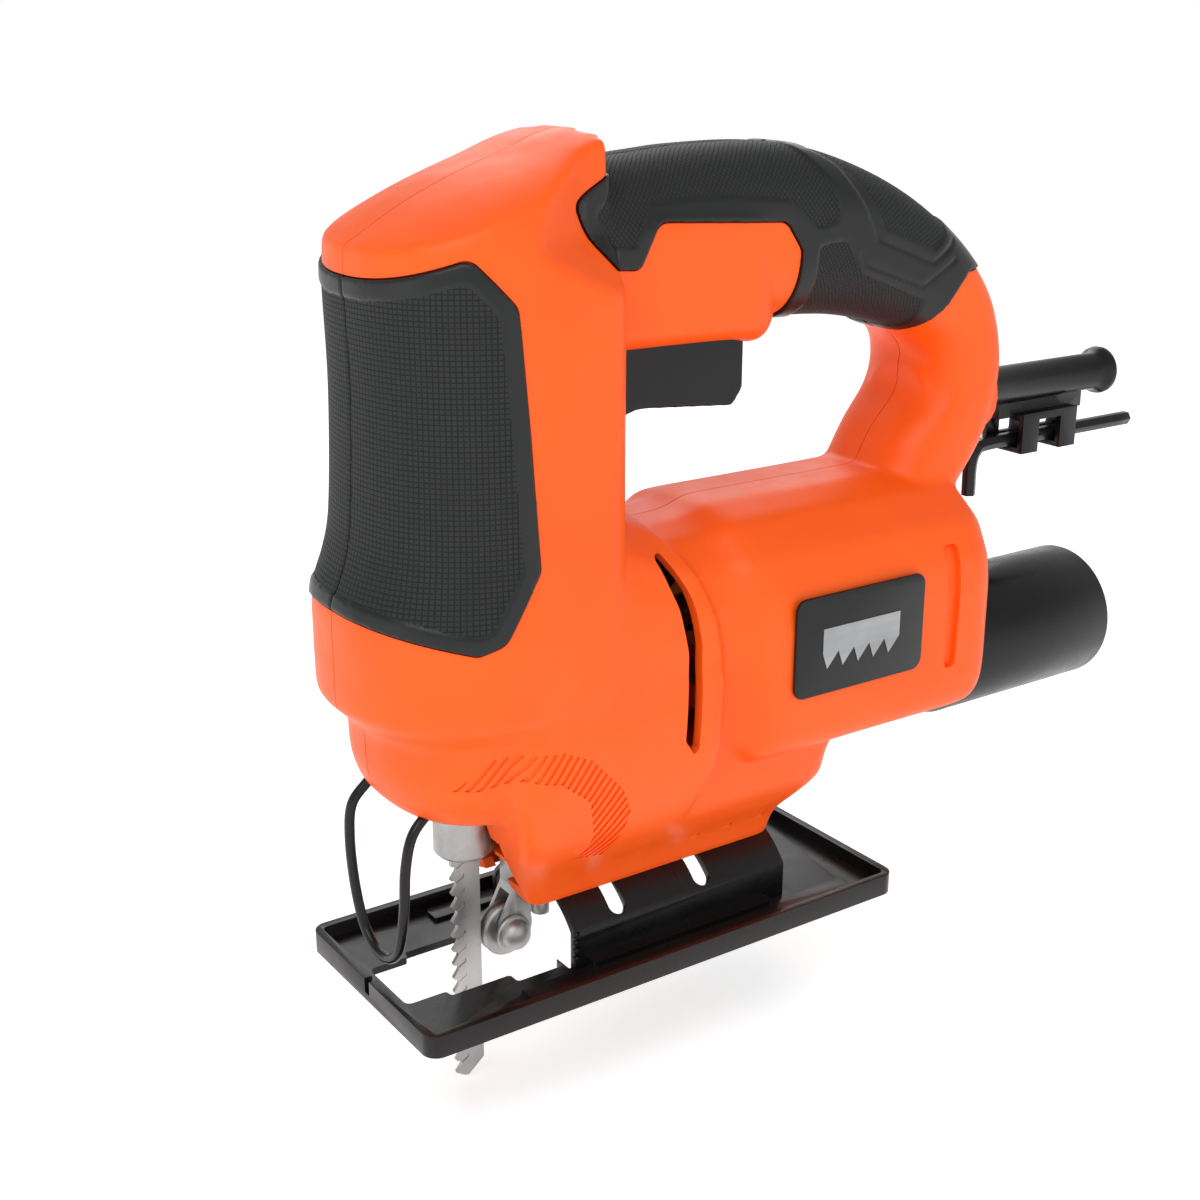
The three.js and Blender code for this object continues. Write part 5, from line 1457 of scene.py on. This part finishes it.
DUST_RADIUS = 20
DUST_Z = 55.8
DUST_START = DUCT_END + 1.3
DUST_END = 214.8
adaptor = turned("hose_adaptor", [
    (0, DUST_START), (DUST_RADIUS - 2.2, DUST_START), (DUST_RADIUS - 0.6, DUST_START + 0.7),
    (DUST_RADIUS, DUST_START + 2.2),
    (DUST_RADIUS, DUST_END - 1.3), (DUST_RADIUS - 0.3, DUST_END - 0.4), (DUST_RADIUS - 1, DUST_END),
    (DUST_RADIUS - 1.7, DUST_END - 0.4), (DUST_RADIUS - 2, DUST_END - 1.3),
    (DUST_RADIUS - 2, DUST_START + 4),
    (0, DUST_START + 4)], "x", (0, 0, DUST_Z), steps=128)
neck_half = DUCT_HALF - 3 - SLIDE_FIT
neck_floor = DUCT_BOTTOM + 3 + SLIDE_FIT
neck_roof = 53.6
weld(adaptor, plate("neck", duct_section(neck_half, neck_floor, neck_roof, 3), "x", 118, DUST_START + 2))
carve(adaptor, plate("neck_bore", duct_section(neck_half - 1.6, neck_floor + 1.6, neck_roof - 1.6, 2), "x",
                     117, DUST_START + 6))
stand_in(adaptor, "dust_adaptor", black_plastic)
print("adaptor:", len(adaptor.data.polygons), "faces")

# %% [markdown]
# ## Inner pieces
#
# Motor, gears, bearings, bushes and switch stay as framed. They only show through the vents and in
# an opened view, so they keep their shapes and get a fitting finish.

# %% Finishes for the framed pieces
INNER_FINISHES = {
    "trigger_spring": screw_steel, "switch_module": black_plastic, "armature_shaft": ground_steel,
    "armature_core": lamination_steel, "winding_front": copper_wire, "winding_rear": copper_wire,
    "commutator": copper_wire, "fan": black_plastic, "pinion": ground_steel, "crank_gear": ground_steel,
    "crank_pin": ground_steel, "crank_axle": ground_steel, "gear_plate": cast_aluminium,
    "front_bearing": ground_steel,
    "rear_bearing": ground_steel, "field_stack": lamination_steel, "field_coil_left": copper_wire,
    "field_coil_right": copper_wire, "brush_left": brush_carbon, "brush_right": brush_carbon,
    "brush_holder_left": bronze, "brush_holder_right": bronze, "plunger": ground_steel,
    "plunger_bush_lower": bronze, "plunger_bush_upper": bronze,
}
for node, finish in INNER_FINISHES.items():
    for material_slot in frame["nodes"][node].material_slots:
        material_slot.material = finish
replaced = {name for piece in made for name in piece["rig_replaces"]}
print("nodes without a new finish:", sorted(set(frame["nodes"]) - replaced - set(INNER_FINISHES)))

# %% [markdown]
# ## Studio
#
# The machine stands in a white studio. One large soft light from the upper left makes the main
# gradient, a weaker one fills the front, a third shines from behind, a small one lights the nose, and the
# pale surroundings do the rest. The floor carries only a soft shadow.

# %% Floor, lights and surroundings
FLOOR_Z = -32.6
deselect()
bpy.ops.mesh.primitive_plane_add(size=80, location=(0, 0, FLOOR_Z * MM))
floor = bpy.context.object
floor.name = "floor"
floor.data.materials.append(moulded("floor_paint", (248, 248, 248), (246, 246, 246), 0.7, grain_scale=60,
                                    grain_depth=0.01,
                                    emission_color=(1, 1, 1, 1), emission_strength=0.52))


def soft_light(name, place, target, size, power, tall=None):
    """A rectangular light at a place in millimetres, turned to face a target."""
    deselect()
    reach = (Vector(target) - Vector(place)).normalized()
    bpy.ops.object.light_add(type="AREA", location=Vector(place) * MM,
                             rotation=reach.to_track_quat("-Z", "Y").to_euler())
    light = bpy.context.object
    light.name = name
    light.data.shape = "RECTANGLE"
    light.data.size = size * MM
    light.data.size_y = (tall or size) * MM
    light.data.energy = power
    return light


MIDDLE = (80, 0, 90)
studio = [
    soft_light("key_light", (-420, -420, 760), MIDDLE, 620, 3.6),
    soft_light("fill_light", (260, -900, 260), MIDDLE, 800, 0.8),
    soft_light("back_light", (500, 620, 640), MIDDLE, 600, 2.2),
    soft_light("nose_light", (-800, -60, 180), MIDDLE, 500, 0.5),
]
world = bpy.data.worlds.new("studio")
bpy.context.scene.world = world
world.use_nodes = True
background = world.node_tree.nodes["Background"]
background.inputs["Color"].default_value = (1, 1, 1, 1)
# The studio is white all round and dimmer overhead, so that dark pieces keep their depth.
direction = world.node_tree.nodes.new("ShaderNodeTexCoord")
height_of = world.node_tree.nodes.new("ShaderNodeSeparateXYZ")
dimming = world.node_tree.nodes.new("ShaderNodeMapRange")
for key, value in (("From Min", 0.03), ("From Max", 0.3), ("To Min", 1.0), ("To Max", 0.5)):
    dimming.inputs[key].default_value = value
world.node_tree.links.new(direction.outputs["Generated"], height_of.inputs[0])
world.node_tree.links.new(height_of.outputs["Z"], dimming.inputs["Value"])
world.node_tree.links.new(dimming.outputs["Result"], background.inputs["Strength"])
bpy.context.scene.view_settings.view_transform = "Standard"
print("lights:", [light.name for light in studio])
